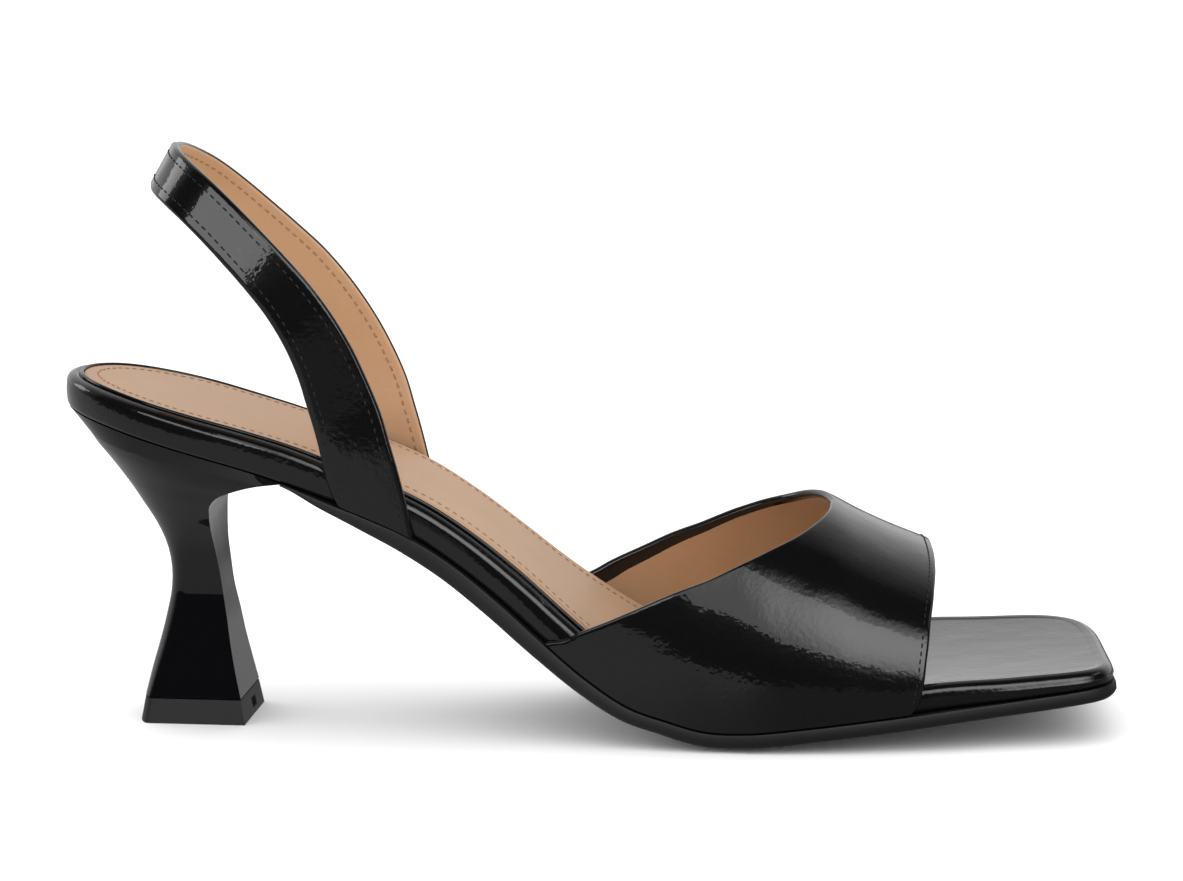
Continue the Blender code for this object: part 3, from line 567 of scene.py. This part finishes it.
class Surface:
    """Collects grids of points into one mesh, joining points that coincide."""

    def __init__(self):
        self.points, self.faces, self.slots, self.count = [], [], [], 0

    def grid(self, points, wrap=False, slot=0):
        """Quads between the rows and columns of an array of points, or of many such arrays
        stacked. slot is one material number, or one for each row of quads."""
        points = np.asarray(points)
        index = np.arange(points.size // 3).reshape(points.shape[:-1]) + self.count
        if wrap:
            index = np.concatenate([index, index[..., :1]], -1)
        here, after = index[..., :-1], index[..., 1:]
        around = (here[..., :-1, :], after[..., :-1, :], after[..., 1:, :], here[..., 1:, :])
        quads = np.stack(around, -1)
        self.points.append(points.reshape(-1, 3))
        self.faces.append(quads.reshape(-1, 4))
        per_row = np.broadcast_to(np.asarray(slot).reshape(-1, 1), quads.shape[:-1])
        self.slots.append(per_row.reshape(-1))
        self.count += points.size // 3

    def build(self, name, materials, sharp=40.0):
        """Makes the object: joins its points, turns its faces outwards and shades it smooth
        except at edges sharper than an angle in degrees."""
        mesh = bpy.data.meshes.new(name)
        points, faces = np.concatenate(self.points), np.concatenate(self.faces)
        mesh.from_pydata(points.tolist(), [], faces.tolist())
        slots = np.concatenate(self.slots).astype(np.int32)
        mesh.polygons.foreach_set("material_index", slots)
        work = bmesh.new()
        work.from_mesh(mesh)
        bmesh.ops.remove_doubles(work, verts=work.verts, dist=2e-6)
        bmesh.ops.recalc_face_normals(work, faces=work.faces)
        if work.calc_volume(signed=True) < 0:
            bmesh.ops.reverse_faces(work, faces=work.faces)
        work.to_mesh(mesh)
        work.free()
        for material in materials:
            mesh.materials.append(material)
        mesh.shade_smooth()
        mesh.set_sharp_from_angle(angle=np.radians(sharp))
        return linked(name, mesh)


def placed(piece, slot, *nodes):
    """The piece moves with the shoe and stands for nodes, whose solids it hides. slot is not used.
    """
    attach(piece, "root")
    if nodes:
        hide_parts(*nodes)


def stitch_row(surface, path, normals, stitch, slot=0):
    """Row of stitches: each a short round thread whose ends dive into the leather."""
    length, gap, radius = stitch
    run = np.concatenate([[0], np.cumsum(np.linalg.norm(np.diff(path, axis=0), axis=1))])

    def at(values, distances):
        return np.stack([np.interp(distances, run, values[:, k]) for k in range(3)], -1)

    middles = np.arange(gap + length / 2, run[-1] - length / 2, length + gap)
    tangent = unit(at(path, middles + length / 4) - at(path, middles - length / 4))
    normal = at(normals, middles)
    normal = unit(normal - tangent * (normal * tangent).sum(-1, keepdims=True))
    beside = np.cross(tangent, normal)
    share = np.linspace(-1, 1, 9)
    thick = radius * np.sqrt(np.maximum(1 - share**6, 0.0))
    lift = radius * (STITCH_RISE - STITCH_DIVE * share**4)
    turn = np.linspace(0, 2 * np.pi, 8, endpoint=False)
    out = thick[:, None] * np.cos(turn)
    up = lift[:, None] + thick[:, None] * np.sin(turn)
    go = np.broadcast_to(share[:, None] * length / 2, up.shape)
    axes = np.stack([tangent, normal, beside])
    offsets = np.einsum("arc,apk->prck", np.stack([go, up, out]), axes)
    surface.grid(at(path, middles)[:, None, None] + offsets, wrap=True, slot=slot)


def cord(surface, path, radius, sides=14):
    """Round cord along a closed path."""
    tangent = unit(np.roll(path, -1, 0) - np.roll(path, 1, 0))
    up = unit(np.array((0.0, 0.0, 1.0)) - tangent * tangent[:, 2:])
    beside = np.cross(tangent, up)
    turn = np.linspace(0, 2 * np.pi, sides, endpoint=False)[None, :, None]
    ring = path[:, None] + radius * (up[:, None] * np.sin(turn) + beside[:, None] * np.cos(turn))
    surface.grid(np.concatenate([ring, ring[:1]]), wrap=True)


def rounded_edge(outer, inner, beyond):
    """Rows that round a wall's edge from its outer to its inner side: half an ellipse that
    stands out by a share of half the wall."""
    turn = np.linspace(0, np.pi, EDGE_STEPS + 1)[:, None, None]
    middle, half = (outer + inner) / 2, (outer - inner) / 2
    reach = np.linalg.norm(half, axis=-1, keepdims=True) * EDGE_FULLNESS
    return middle + half * np.cos(turn) + unit(beyond) * reach * np.sin(turn)


# Materials


def colour_of(hex_code):
    """Linear colour of an sRGB hex code."""
    values = [int(hex_code[i : i + 2], 16) / 255 for i in (1, 3, 5)]
    return (*(v / 12.92 if v <= 0.04045 else ((v + 0.055) / 1.055) ** 2.4 for v in values), 1.0)


def add_node(tree, kind, inputs=None, links=None, **settings):
    """Adds a shader node with its settings, input values and links (input: output socket)."""
    made = tree.nodes.new(kind)
    for key, value in settings.items():
        setattr(made, key, value)
    for key, value in (inputs or {}).items():
        made.inputs[key].default_value = value
    for key, socket in (links or {}).items():
        tree.links.new(socket, made.inputs[key])
    return made


def new_material(name, hex_code, roughness, inputs=None):
    """Principled material with its base values; returns it with its tree and shader."""
    made = bpy.data.materials.new(name)
    made.use_nodes = True
    tree = made.node_tree
    shader = tree.nodes["Principled BSDF"]
    values = {"Base Color": colour_of(hex_code), "Roughness": roughness, **(inputs or {})}
    for key, value in values.items():
        shader.inputs[key].default_value = value
    return made, tree, shader


def object_noise(tree, size, detail=2.0, stretch=(1, 1, 1)):
    """Noise over the shoe's own coordinates with features of a real size in metres."""
    place = add_node(tree, "ShaderNodeTexCoord")
    scaled = add_node(
        tree, "ShaderNodeMapping", {"Scale": tuple(s / size for s in stretch)},
        {"Vector": place.outputs["Object"]},
    )
    return add_node(
        tree, "ShaderNodeTexNoise", {"Scale": 1.0, "Detail": detail},
        {"Vector": scaled.outputs["Vector"]},
    ).outputs["Fac"]


def add_bumps(tree, shader, layers, sockets=("Normal",)):
    """Bumps laid on each other: each a height pattern and its depth in metres."""
    below = None
    for height, depth in layers:
        links = {"Height": height}
        if below:
            links["Normal"] = below
        bump = add_node(tree, "ShaderNodeBump", {"Strength": 1.0, "Distance": depth}, links)
        below = bump.outputs["Normal"]
    for socket in sockets:
        tree.links.new(below, shader.inputs[socket])


def coated(name, hex_code, roughness, specular, coat_roughness, waves):
    """Black base under a thick clear coat that reflects; waves are the size, detail and depth
    of its unevenness, each laid on the one before."""
    made, tree, shader = new_material(name, hex_code, roughness, {
        "Specular IOR Level": specular, "Coat Weight": 1.0, "Coat Roughness": coat_roughness,
    })
    layers = [(object_noise(tree, size, detail), depth) for size, detail, depth in waves]
    add_bumps(tree, shader, layers, ("Normal", "Coat Normal"))
    return made


def tan_leather(name, hex_code, darker, wrinkle=0.00006):
    """Smooth lining leather: fine pores, soft long wrinkles and slightly uneven dye."""
    made, tree, shader = new_material(name, hex_code, 0.48, {"Sheen Weight": 0.08})
    dye = object_noise(tree, 0.018, detail=4.0)
    blend = add_node(
        tree, "ShaderNodeMix", {6: colour_of(hex_code), 7: colour_of(darker)}, {"Factor": dye},
        data_type="RGBA",
    )
    tree.links.new(blend.outputs[2], shader.inputs["Base Color"])
    pores = object_noise(tree, 0.0005)
    folds = object_noise(tree, 0.004, stretch=(0.6, 0.3, 1.6))
    add_bumps(tree, shader, ((folds, wrinkle), (pores, 0.00002)))
    return made


def grained(name, hex_code, roughness, size, depth, detail=2.0):
    """Matte surface with a fine grain of one size and depth."""
    made, tree, shader = new_material(name, hex_code, roughness)
    add_bumps(tree, shader, ((object_noise(tree, size, detail), depth),))
    return made


# Pieces


def swept(plan, profile, cut=None):
    """A closed outline swept through a profile of (distance outwards, height) and closed
    by its first and last face. cut marks the points of a straight end, which stays."""
    loops = [moved_out(plan, out) for out, _ in profile]
    if cut is not None:
        loops = [with_cut(loop, plan, cut) for loop in loops]
    surface = Surface()
    rows = [grounded(laid(loop, height)) for loop, (_, height) in zip(loops, profile)]
    surface.grid(rows, wrap=True)
    for end in (0, -1):
        surface.grid(grounded(laid(patch(loops[end]), profile[end][1])))
    return surface


def add_platform(leather):
    """Covered platform: the rim rises from the sock to a soft shoulder, turns over a round
    edge and runs down a slightly full side."""
    ease = np.linspace(0, np.pi / 2, 9)
    # Distance outwards, then shares of the bead and of the board and metres in the height
    rows = [(-RIM_WIDTH, 0.0, 0.0, 0.0)]
    for turn in ease[1:]:
        shoulder = RIM_SHOULDER * RIM_WIDTH * (1 - np.cos(turn))
        rows.append((shoulder - RIM_WIDTH, np.sin(turn), 0.0, 0.0))
    for turn in ease[1:]:
        rows.append((EDGE_ROUND * (np.sin(turn) - 1), 1.0, 0.0, EDGE_ROUND * (np.cos(turn) - 1)))
    for share in np.linspace(0.15, 1.0, 6):
        rounds = 2 * FOOT_ROUND * share - EDGE_ROUND * (1 - share)
        rows.append((SIDE_FULLNESS * np.sin(np.pi * share), 1 - share, share, rounds))
    for turn in ease[2::2]:
        foot = 2 * FOOT_ROUND * (1 - np.sin(turn))
        rows.append((FOOT_ROUND * (np.cos(turn) - 1), 0.0, 1.0, foot))
    profile = [
        (out, lambda along, a=a, b=b, c=c: a * bead(along) - b * board(along) + c)
        for out, a, b, c in rows
    ]
    made = swept(outline(), profile).build("platform_cover", [leather])
    placed(made, "black_patent_leather", "platform")


def sock_top(along):
    """Height of the sock's face above the platform's own top, the same all along."""
    return CLEARANCE + SOCK_THICKNESS


def add_sock(leather):
    """Sock lining: a thin padded sheet whose edge is turned down beside the piping."""
    plan = moved_out(outline(last=SOCK_END), -RIM_WIDTH - CLEARANCE)
    profile = [(0.0, lambda along: CLEARANCE)]
    for turn in np.linspace(0, np.pi / 2, 7):
        out = -SOCK_THICKNESS * SOCK_ROUND * (1 - np.cos(turn))
        height = CLEARANCE + SOCK_THICKNESS * (1 - SOCK_ROUND + SOCK_ROUND * np.sin(turn))
        profile.append((out, lambda along, height=height: height))
    made = swept(plan, profile).build("sock", [leather])
    placed(made, "tan_lining_leather", "sock_lining")


def add_piping(leather):
    """Piping: a thin black cord in the groove between the sock and the rim."""
    plan = moved_out(outline(last=SOCK_END), -RIM_WIDTH + PIPING_OUT)
    path = laid(plan, lambda along: 0.75 * bead(along) + PIPING_RADIUS)
    surface = Surface()
    cord(surface, path, PIPING_RADIUS)
    placed(surface.build("sock_piping", [leather]), "black_patent_leather")


def add_sock_stitches(yarn):
    """The sock's seam: all round, a little inside its edge."""
    plan = moved_out(outline(last=SOCK_END), -RIM_WIDTH - CLEARANCE - SOCK_SEAM)
    path = laid(np.roll(plan, -(len(plan) // 2), 0), sock_top)
    surface = Surface()
    stitch_row(surface, path, np.broadcast_to((0.0, 0.0, 1.0), path.shape), SOCK_STITCH)
    placed(surface.build("sock_stitches", [yarn]), "tan_lining_leather")


def add_outsole(rubber):
    """Outsole from the heel's breast to the toe, with a bevelled foot edge and a flat tread."""
    plan = outline(first=BREAST - OUTSOLE_TUCK / LENGTH)
    cut = plan[:, 0] < BREAST * LENGTH - OUTSOLE_TUCK + CLEARANCE
    reach = seam_reach(plan[:, 0] / LENGTH)
    # Distance outwards, then how much of the round, of the sole and of the bevel the row is
    # below the platform
    rows = (
        (-OUTSOLE_ROUND, 0.0, 0.0, 0.0),
        (-0.3 * OUTSOLE_ROUND, 0.1, 0.0, 0.0),
        (0.0, 1.0, 0.0, 0.0),
        (0.0, 0.5, 0.5, -0.5),
        (0.0, 0.0, 1.0, -1.0),
        (-0.4 * OUTSOLE_BEVEL, 0.0, 1.0, -0.45),
        (-OUTSOLE_BEVEL, 0.0, 1.0, 0.0),
    )
    profile = [
        (reach + out, lambda along, a=a, b=b, c=c: (
            seat_height(along) - a * OUTSOLE_ROUND - b * sole(along) - c * bevel(along)
        ))
        for out, a, b, c in rows
    ]
    made = swept(plan, profile, cut).build("outsole_rubber", [rubber])
    placed(made, "black_outsole_rubber", "outsole")


def bevelled(piece, width):
    """Rounds a piece's sharp edges with a narrow bevel."""
    bevel_edges = piece.modifiers.new("edge", "BEVEL")
    bevel_edges.width = width
    bevel_edges.segments = 3
    bevel_edges.limit_method = "ANGLE"
    bevel_edges.angle_limit = np.radians(BEVEL_ANGLE)
    return piece


def add_heel(lacquer):
    """Spool heel: lofted from the platform's outline through a narrow waist to the lift."""
    plan = outline(last=BREAST)
    cut = plan[:, 0] > BREAST * LENGTH - CLEARANCE
    seat = with_cut(moved_out(plan, -HEEL_INSET), plan, cut)
    rings = [laid(seat, seat_height)]
    lift_top = LIFT_THICKNESS + CLEARANCE
    drop = under_height(0.0, 0.0) - CLEARANCE - lift_top
    for down in HEEL_LEVELS:
        back, front, half, level, corner = heel_at(down)
        ring = heel_ring(back, front, half, corner, HEEL_TURN * level)
        along_platform = under_height(ring[:, 0], ring[:, 1]) - CLEARANCE - down * drop
        upright = lift_top + (1 - down) * drop
        z = along_platform + level * (upright - along_platform)
        rings.append(np.column_stack([ring, z]))
    surface = Surface()
    surface.grid(rings, wrap=True)
    surface.grid(laid(patch(seat), seat_height))
    surface.grid(patch(rings[-1]))
    made = surface.build("heel_block", [lacquer], sharp=50.0)
    placed(bevelled(made, HEEL_BEVEL), "black_heel_lacquer", "heel")


def heel_box(name, centre, size):
    """A plain box of one size, turned as the heel is."""
    faces = [(3, 2, 1, 0), (4, 5, 6, 7), (0, 1, 5, 4), (1, 2, 6, 5), (2, 3, 7, 6), (3, 0, 4, 7)]
    square = ((-1, -1), (1, -1), (1, 1), (-1, 1))
    signs = np.array([(x, y, z) for z in (-1, 1) for x, y in square])
    x, y, z = (signs * np.array(size) / 2).T
    mesh = bpy.data.meshes.new(name)
    mesh.from_pydata((np.stack([*turned(x, y), z], -1) + np.array(centre)).tolist(), [], faces)
    return linked(name, mesh)


def cut_out(piece, cutter):
    """Takes the cutter's form out of a piece and removes the cutter."""
    cut = piece.modifiers.new("cut", "BOOLEAN")
    cut.operation = "DIFFERENCE"
    cut.solver = "EXACT"
    cut.object = cutter
    bpy.context.view_layer.update()
    shaped = piece.evaluated_get(bpy.context.evaluated_depsgraph_get())
    piece.data = bpy.data.meshes.new_from_object(shaped)
    piece.modifiers.clear()
    bpy.data.objects.remove(cutter)


def add_lift(rubber):
    """Heel lift with softened edges, and the small pocket in its front face."""
    back, front, half, _, corner = heel_at(1.0)
    rings = []
    for share in np.linspace(0, 1, 5):
        flare = LIFT_FLARE * share
        ring = heel_ring(back - flare, front + flare, half + flare, corner)
        rings.append(np.column_stack([ring, np.full(len(ring), LIFT_THICKNESS * (1 - share))]))
    surface = Surface()
    surface.grid(rings, wrap=True)
    for ring in (rings[0], rings[-1]):
        surface.grid(patch(ring))
    made = surface.build("lift_block", [rubber], sharp=50.0)
    x, y = turned(front + LIFT_FLARE / 2, POCKET_ASIDE)
    cut_out(made, heel_box("pocket", (x, y, POCKET_HEIGHT), POCKET_SIZE))
    placed(bevelled(made, LIFT_BEVEL), "black_lift_rubber", "heel_lift")


def vamp_grid(rows, columns, inset=0.0):
    """Outer face of the vamp on a grid, from the lateral seam to the medial one, from its
    topline to its toe edge, each edge drawn in by inset metres."""
    half_girth = 0.5 * np.linspace(0, 1, columns // 2 + 1) ** VAMP_COLUMN_EASE
    girth = np.concatenate([half_girth, 1 - half_girth[-2::-1]])
    low = np.minimum(girth, 1 - girth)
    lateral, medial, front = (
        curve(VAMP_EDGES, VAMP_COLUMNS, name, low) for name in VAMP_COLUMNS[1:]
    )
    weight = np.interp(girth, VAMP_BLEND, (0, 1))
    back = lateral * (1 - weight) + medial * weight + inset / LENGTH
    front = front - inset / LENGTH
    along = back + (front - back) * np.linspace(0, 1, rows + 1)[:, None]
    return vamp_surface(along, np.broadcast_to(girth * np.pi, along.shape))


def add_vamp(leather, lining, yarn):
    """Vamp: patent outside and tan lining inside, with a rounded topline and toe edge."""
    outer = vamp_grid(*VAMP_GRID, inset=VAMP_WALL / 2)
    inner = off_surface(outer, -VAMP_WALL)
    for wall in (outer, inner):
        for seam_edge in (0, -1):
            x, y, _ = wall[:, seam_edge].T
            wall[:, seam_edge, 2] = under_height(x, y) + CLEARANCE / 2
    topline = rounded_edge(outer[0], inner[0], outer[0] - outer[1])
    toe_edge = rounded_edge(outer[-1], inner[-1], outer[-1] - outer[-2])
    surface = Surface()
    surface.grid(outer)
    surface.grid(inner, slot=np.where(np.arange(len(inner) - 1) < FOLD_ROWS, 0, 1))
    surface.grid(topline)
    surface.grid(toe_edge)
    for seam_edge in (0, -1):
        surface.grid([outer[:, seam_edge], inner[:, seam_edge]])
        surface.grid([topline[:, seam_edge], topline[::-1, seam_edge]])
        surface.grid([toe_edge[:, seam_edge], toe_edge[::-1, seam_edge]])
    made = surface.build("vamp_leather", [leather, lining])
    placed(made, "black_patent_leather", "vamp")
    # The seam runs in the grid's last row, and its ends stay clear of the sole
    sewn = vamp_grid(*VAMP_SEAM_GRID, inset=STITCH_INSET)[:, 6:-6]
    normals = unit(np.cross(sewn[-1] - sewn[-2], np.gradient(sewn[-1], axis=0)))
    stitches = Surface()
    stitch_row(stitches, sewn[-1], normals, VAMP_STITCH)
    placed(stitches.build("vamp_stitches", [yarn]), "black_patent_leather")


def strap_middle(rows, across):
    """Middle surface of the slingback strap on a grid: rows from its lateral end over the
    back of the foot to its medial end, columns across its width."""
    count = len(STRAP)
    run = np.linspace(0, count - 1, rows + 1)
    numbered = np.column_stack([np.arange(count), STRAP])
    columns = ["run"] + STRAP_COLUMNS
    row = {name: curve(numbered, columns, name, run) for name in STRAP_COLUMNS}
    shares = np.linspace(-0.5, 0.5, across + 1)
    lean = np.radians(row["lean"])
    width = (row["width"] * STRAP_WIDTH)[:, None] * shares
    grids = []
    for name, sign in (("lateral", -1), ("medial", 1)):
        x = (row["along"] + (row["ahead"] if sign > 0 else 0)) * LENGTH - SEAT_SETBACK
        y = sign * row["out"] * STRAP_SPAN / 2
        middle = np.stack([x, y, row["height"] * STRAP_HEIGHT], -1)
        points = np.repeat(middle[:, None], len(shares), 1)
        points[..., 0] += width * np.sin(lean)[:, None]
        points[..., 2] += width * np.cos(lean)[:, None]
        points[..., 1] -= sign * width * np.tan(np.radians(STRAP_TILT))
        along = (points[..., 0] + SEAT_SETBACK) / LENGTH
        resting = side(name, along) + sign * (CLEARANCE + STRAP_WALL / 2)
        grip = row["grip"][:, None]
        points[..., 1] = points[..., 1] * (1 - grip) + resting * grip
        for _ in range(STRAP_EASE):
            points[1:-1, :, 1] = (points[:-2, :, 1] + 2 * points[1:-1, :, 1] + points[2:, :, 1]) / 4
        floor = under_height(points[..., 0], resting)
        points[..., 2] = np.where(grip > 0.5, np.maximum(points[..., 2], floor), points[..., 2])
        grids.append(points)
    return np.concatenate([grids[0], grids[1][-2::-1]])


def add_strap(leather, lining, yarn, lining_yarn_and_seam_shade):
    """Slingback strap: patent outside, lined inside, rounded edges and a seam at each."""
    middle = strap_middle(*STRAP_GRID)
    width = np.linalg.norm(middle[:, -1] - middle[:, 0], axis=-1)[:, None, None]
    centre = middle.mean(axis=1, keepdims=True)
    narrowed = centre + (middle - centre) * (width - EDGE_FULLNESS * STRAP_WALL) / width
    outer = off_surface(narrowed, -STRAP_WALL / 2)
    inner = off_surface(narrowed, STRAP_WALL / 2)
    surface = Surface()
    surface.grid(outer)
    surface.grid(inner, slot=1)
    for edge, beside in ((0, 1), (-1, -2)):
        beyond = outer[:, edge] - outer[:, beside]
        ring = rounded_edge(outer[:, edge], inner[:, edge], beyond)
        surface.grid(ring, slot=np.where(np.arange(EDGE_STEPS) < EDGE_PATENT, 0, 1))
        surface.grid([outer[edge], inner[edge]])
    made = surface.build("strap_leather", [leather, lining])
    placed(made, "black_patent_leather", "slingback_strap")
    share = 1 - 2 * STITCH_INSET / width[:, 0]
    stitches = Surface()
    for wall, facing, slot in ((outer, -1, 0), (inner, 1, 1)):
        for sign in (-1, 1):
            half = (wall[:, -1] - wall[:, 0]) / 2
            path = (wall[:, -1] + wall[:, 0]) / 2 + sign * share * half
            normals = facing * unit(np.cross(np.gradient(path, axis=0), half))
            stitch_row(stitches, path[3:-3], normals[3:-3], STRAP_STITCH, slot)
    placed(stitches.build("strap_stitches", [yarn, lining_yarn_and_seam_shade]), "black_patent_leather")


# Studio


def add_ramp(tree, value, span, low, high, **settings):
    """Value mapped from a span of two numbers to low and high, and held outside it."""
    return add_node(
        tree, "ShaderNodeMapRange",
        {"From Min": span[0], "From Max": span[1], "To Min": low, "To Max": high},
        {"Value": value}, **settings,
    ).outputs["Result"]


def split_reflections(tree, plain, reflected, output):
    """Reflections get one shader and all other rays another."""
    ray = add_node(tree, "ShaderNodeLightPath")
    mixed = add_node(tree, "ShaderNodeMixShader", links={
        0: ray.outputs["Is Glossy Ray"], 1: plain, 2: reflected,
    })
    tree.links.new(mixed.outputs[0], tree.nodes[output].inputs["Surface"])


def part_of(tree, output, axis):
    """One axis of a kind of texture coordinate."""
    place = add_node(tree, "ShaderNodeTexCoord")
    return add_node(
        tree, "ShaderNodeSeparateXYZ", links={"Vector": place.outputs[output]}
    ).outputs[axis]


def add_floor():
    """A plain pale floor, large enough to be the whole background. In reflections it shows a
    painted reflection, a glow in place of the lit paper: greyer, and greyer still beside the
    forefoot than beside the heel."""
    mesh = bpy.data.meshes.new("floor")
    square = ((-1, -1, 0), (1, -1, 0), (1, 1, 0), (-1, 1, 0))
    mesh.from_pydata((np.array(square) * FLOOR_REACH).tolist(), [], [(0, 1, 2, 3)])
    made = linked("floor", mesh)
    paper, tree, shader = new_material(
        "white background paper with painted reflection", "#f6f6f6", 0.95, {"Specular IOR Level": 0.0}
    )
    # Painted reflection: glossy rays see a glow that fades from its brightness beside the heel to
    # its brightness beside the forefoot
    along = part_of(tree, "Object", "X")
    fade = add_ramp(tree, along, PAINTED_REFLECTION_FADE, HEEL_PAINTED_REFLECTION, TOE_PAINTED_REFLECTION)
    seen = add_node(tree, "ShaderNodeEmission", {"Color": WHITE}, {"Strength": fade})
    split_reflections(tree, shader.outputs[0], seen.outputs[0], "Material Output")
    mesh.materials.append(paper)


def aim(made, place, target, roll=0.0):
    """Puts an object in its place, its front to a target, turned about that line by roll
    degrees."""
    facing = (Vector(target) - Vector(place)).to_track_quat("-Z", "Y")
    made.location = place
    made.rotation_euler = (facing @ Quaternion((0.0, 0.0, 1.0), np.radians(roll))).to_euler()


def add_softbox(name, place, target, size, radiance, roll):
    """Rectangular softbox. radiance is how bright its face looks."""
    lamp = bpy.data.lights.new(name, "AREA")
    lamp.shape = "RECTANGLE"
    lamp.size, lamp.size_y = size
    lamp.energy = radiance * np.pi * size[0] * size[1]
    made = linked(name, lamp)
    aim(made, place, target, roll)
    made.visible_diffuse = False


def light_studio():
    """White surroundings that light the paper evenly. Reflections see the room as it is:
    a lit background behind the shoe that fades to a dark room at the camera's side, where
    one wall glows softly, and the softboxes."""
    world = bpy.data.worlds.new("studio")
    world.use_nodes = True
    bpy.context.scene.world = world
    tree = world.node_tree
    white = tree.nodes["Background"]
    white.inputs["Color"].default_value = WHITE
    white.inputs["Strength"].default_value = ROOM_LIGHT
    backward = part_of(tree, "Generated", "Y")
    fade = add_ramp(tree, backward, ROOM_FADE, ROOM_REFLECTED, BACKGROUND_REFLECTED)
    bearing, height = np.radians(GLOW_BEARING), np.radians(GLOW_HEIGHT)
    level = np.cos(height)
    middle = (np.sin(bearing) * level, -np.cos(bearing) * level, np.sin(height))
    place = add_node(tree, "ShaderNodeTexCoord")
    near = add_node(
        tree, "ShaderNodeVectorMath", {1: middle}, {0: place.outputs["Generated"]},
        operation="DOT_PRODUCT",
    ).outputs["Value"]
    span = (np.cos(np.radians(GLOW_REACH)), 1.0)
    glow = add_ramp(tree, near, span, 0.0, GLOW, interpolation_type="SMOOTHSTEP")
    both = add_node(tree, "ShaderNodeMath", links={0: fade, 1: glow}, operation="ADD")
    room = add_node(tree, "ShaderNodeBackground", {"Color": WHITE}, {"Strength": both.outputs[0]})
    split_reflections(tree, white.outputs[0], room.outputs[0], "World Output")
    for softbox in SOFTBOXES:
        add_softbox(*softbox)
    bpy.context.scene.view_settings.view_transform = "Standard"


def add_camera():
    """The photograph's view: level with the shoe's middle, 9.7 degrees above it, 1.1 m away."""
    lens = bpy.data.cameras.new("camera")
    lens.sensor_width = 36.0
    lens.lens = CAMERA_LENS
    made = linked("camera", lens)
    aim(made, CAMERA_PLACE, CAMERA_TARGET)
    bpy.context.scene.camera = made


def main():
    # Hide under a clear coat, with slow waves that break up reflections and an orange peel
    patent = coated(
        "black patent leather", "#070708", 0.22, 0.12, 0.045,
        ((0.011, 1.5, 0.00020), (0.0011, 1.0, 0.00003)),
    )
    # Lacquer over the moulded heel, smoother than the patent leather
    lacquer = coated("black heel lacquer", "#08080a", 0.6, 0.0, 0.03, ((0.014, 1.0, 0.00008),))
    # Moulded rubber with a fine pebble
    outsole_rubber = grained("black outsole rubber", "#0f0f11", 0.5, 0.0006, 0.000015)
    lift_rubber = grained("black lift rubber", "#141416", 0.55, 0.0005, 0.00002)
    # Smooth leather, lighter on the sock than in the upper
    sock_tan = tan_leather("tan sock leather", "#ac8a6b", "#a37e5e")
    lining_tan = tan_leather("tan lining leather", "#b98f69", "#ad835d", wrinkle=0.0001)
    # Sewing thread, slightly waxed. The tan one is its own tan made darker, which also paints the
    # shade along its seams
    black_thread = grained("black thread", "#0b0b0b", 0.5, 0.0003, 0.00003, 1.0)
    tan_thread_and_seam_shade = grained("tan thread with painted seam shade", "#8f6a49", 0.5, 0.0003, 0.00003, 1.0)
    add_outsole(outsole_rubber)
    add_heel(lacquer)
    add_lift(lift_rubber)
    add_platform(patent)
    add_sock(sock_tan)
    add_piping(patent)
    add_sock_stitches(tan_thread_and_seam_shade)
    add_vamp(patent, lining_tan, black_thread)
    add_strap(patent, lining_tan, black_thread, tan_thread_and_seam_shade)
    add_floor()
    light_studio()
    add_camera()


main()

bpy.context.view_layer.update()
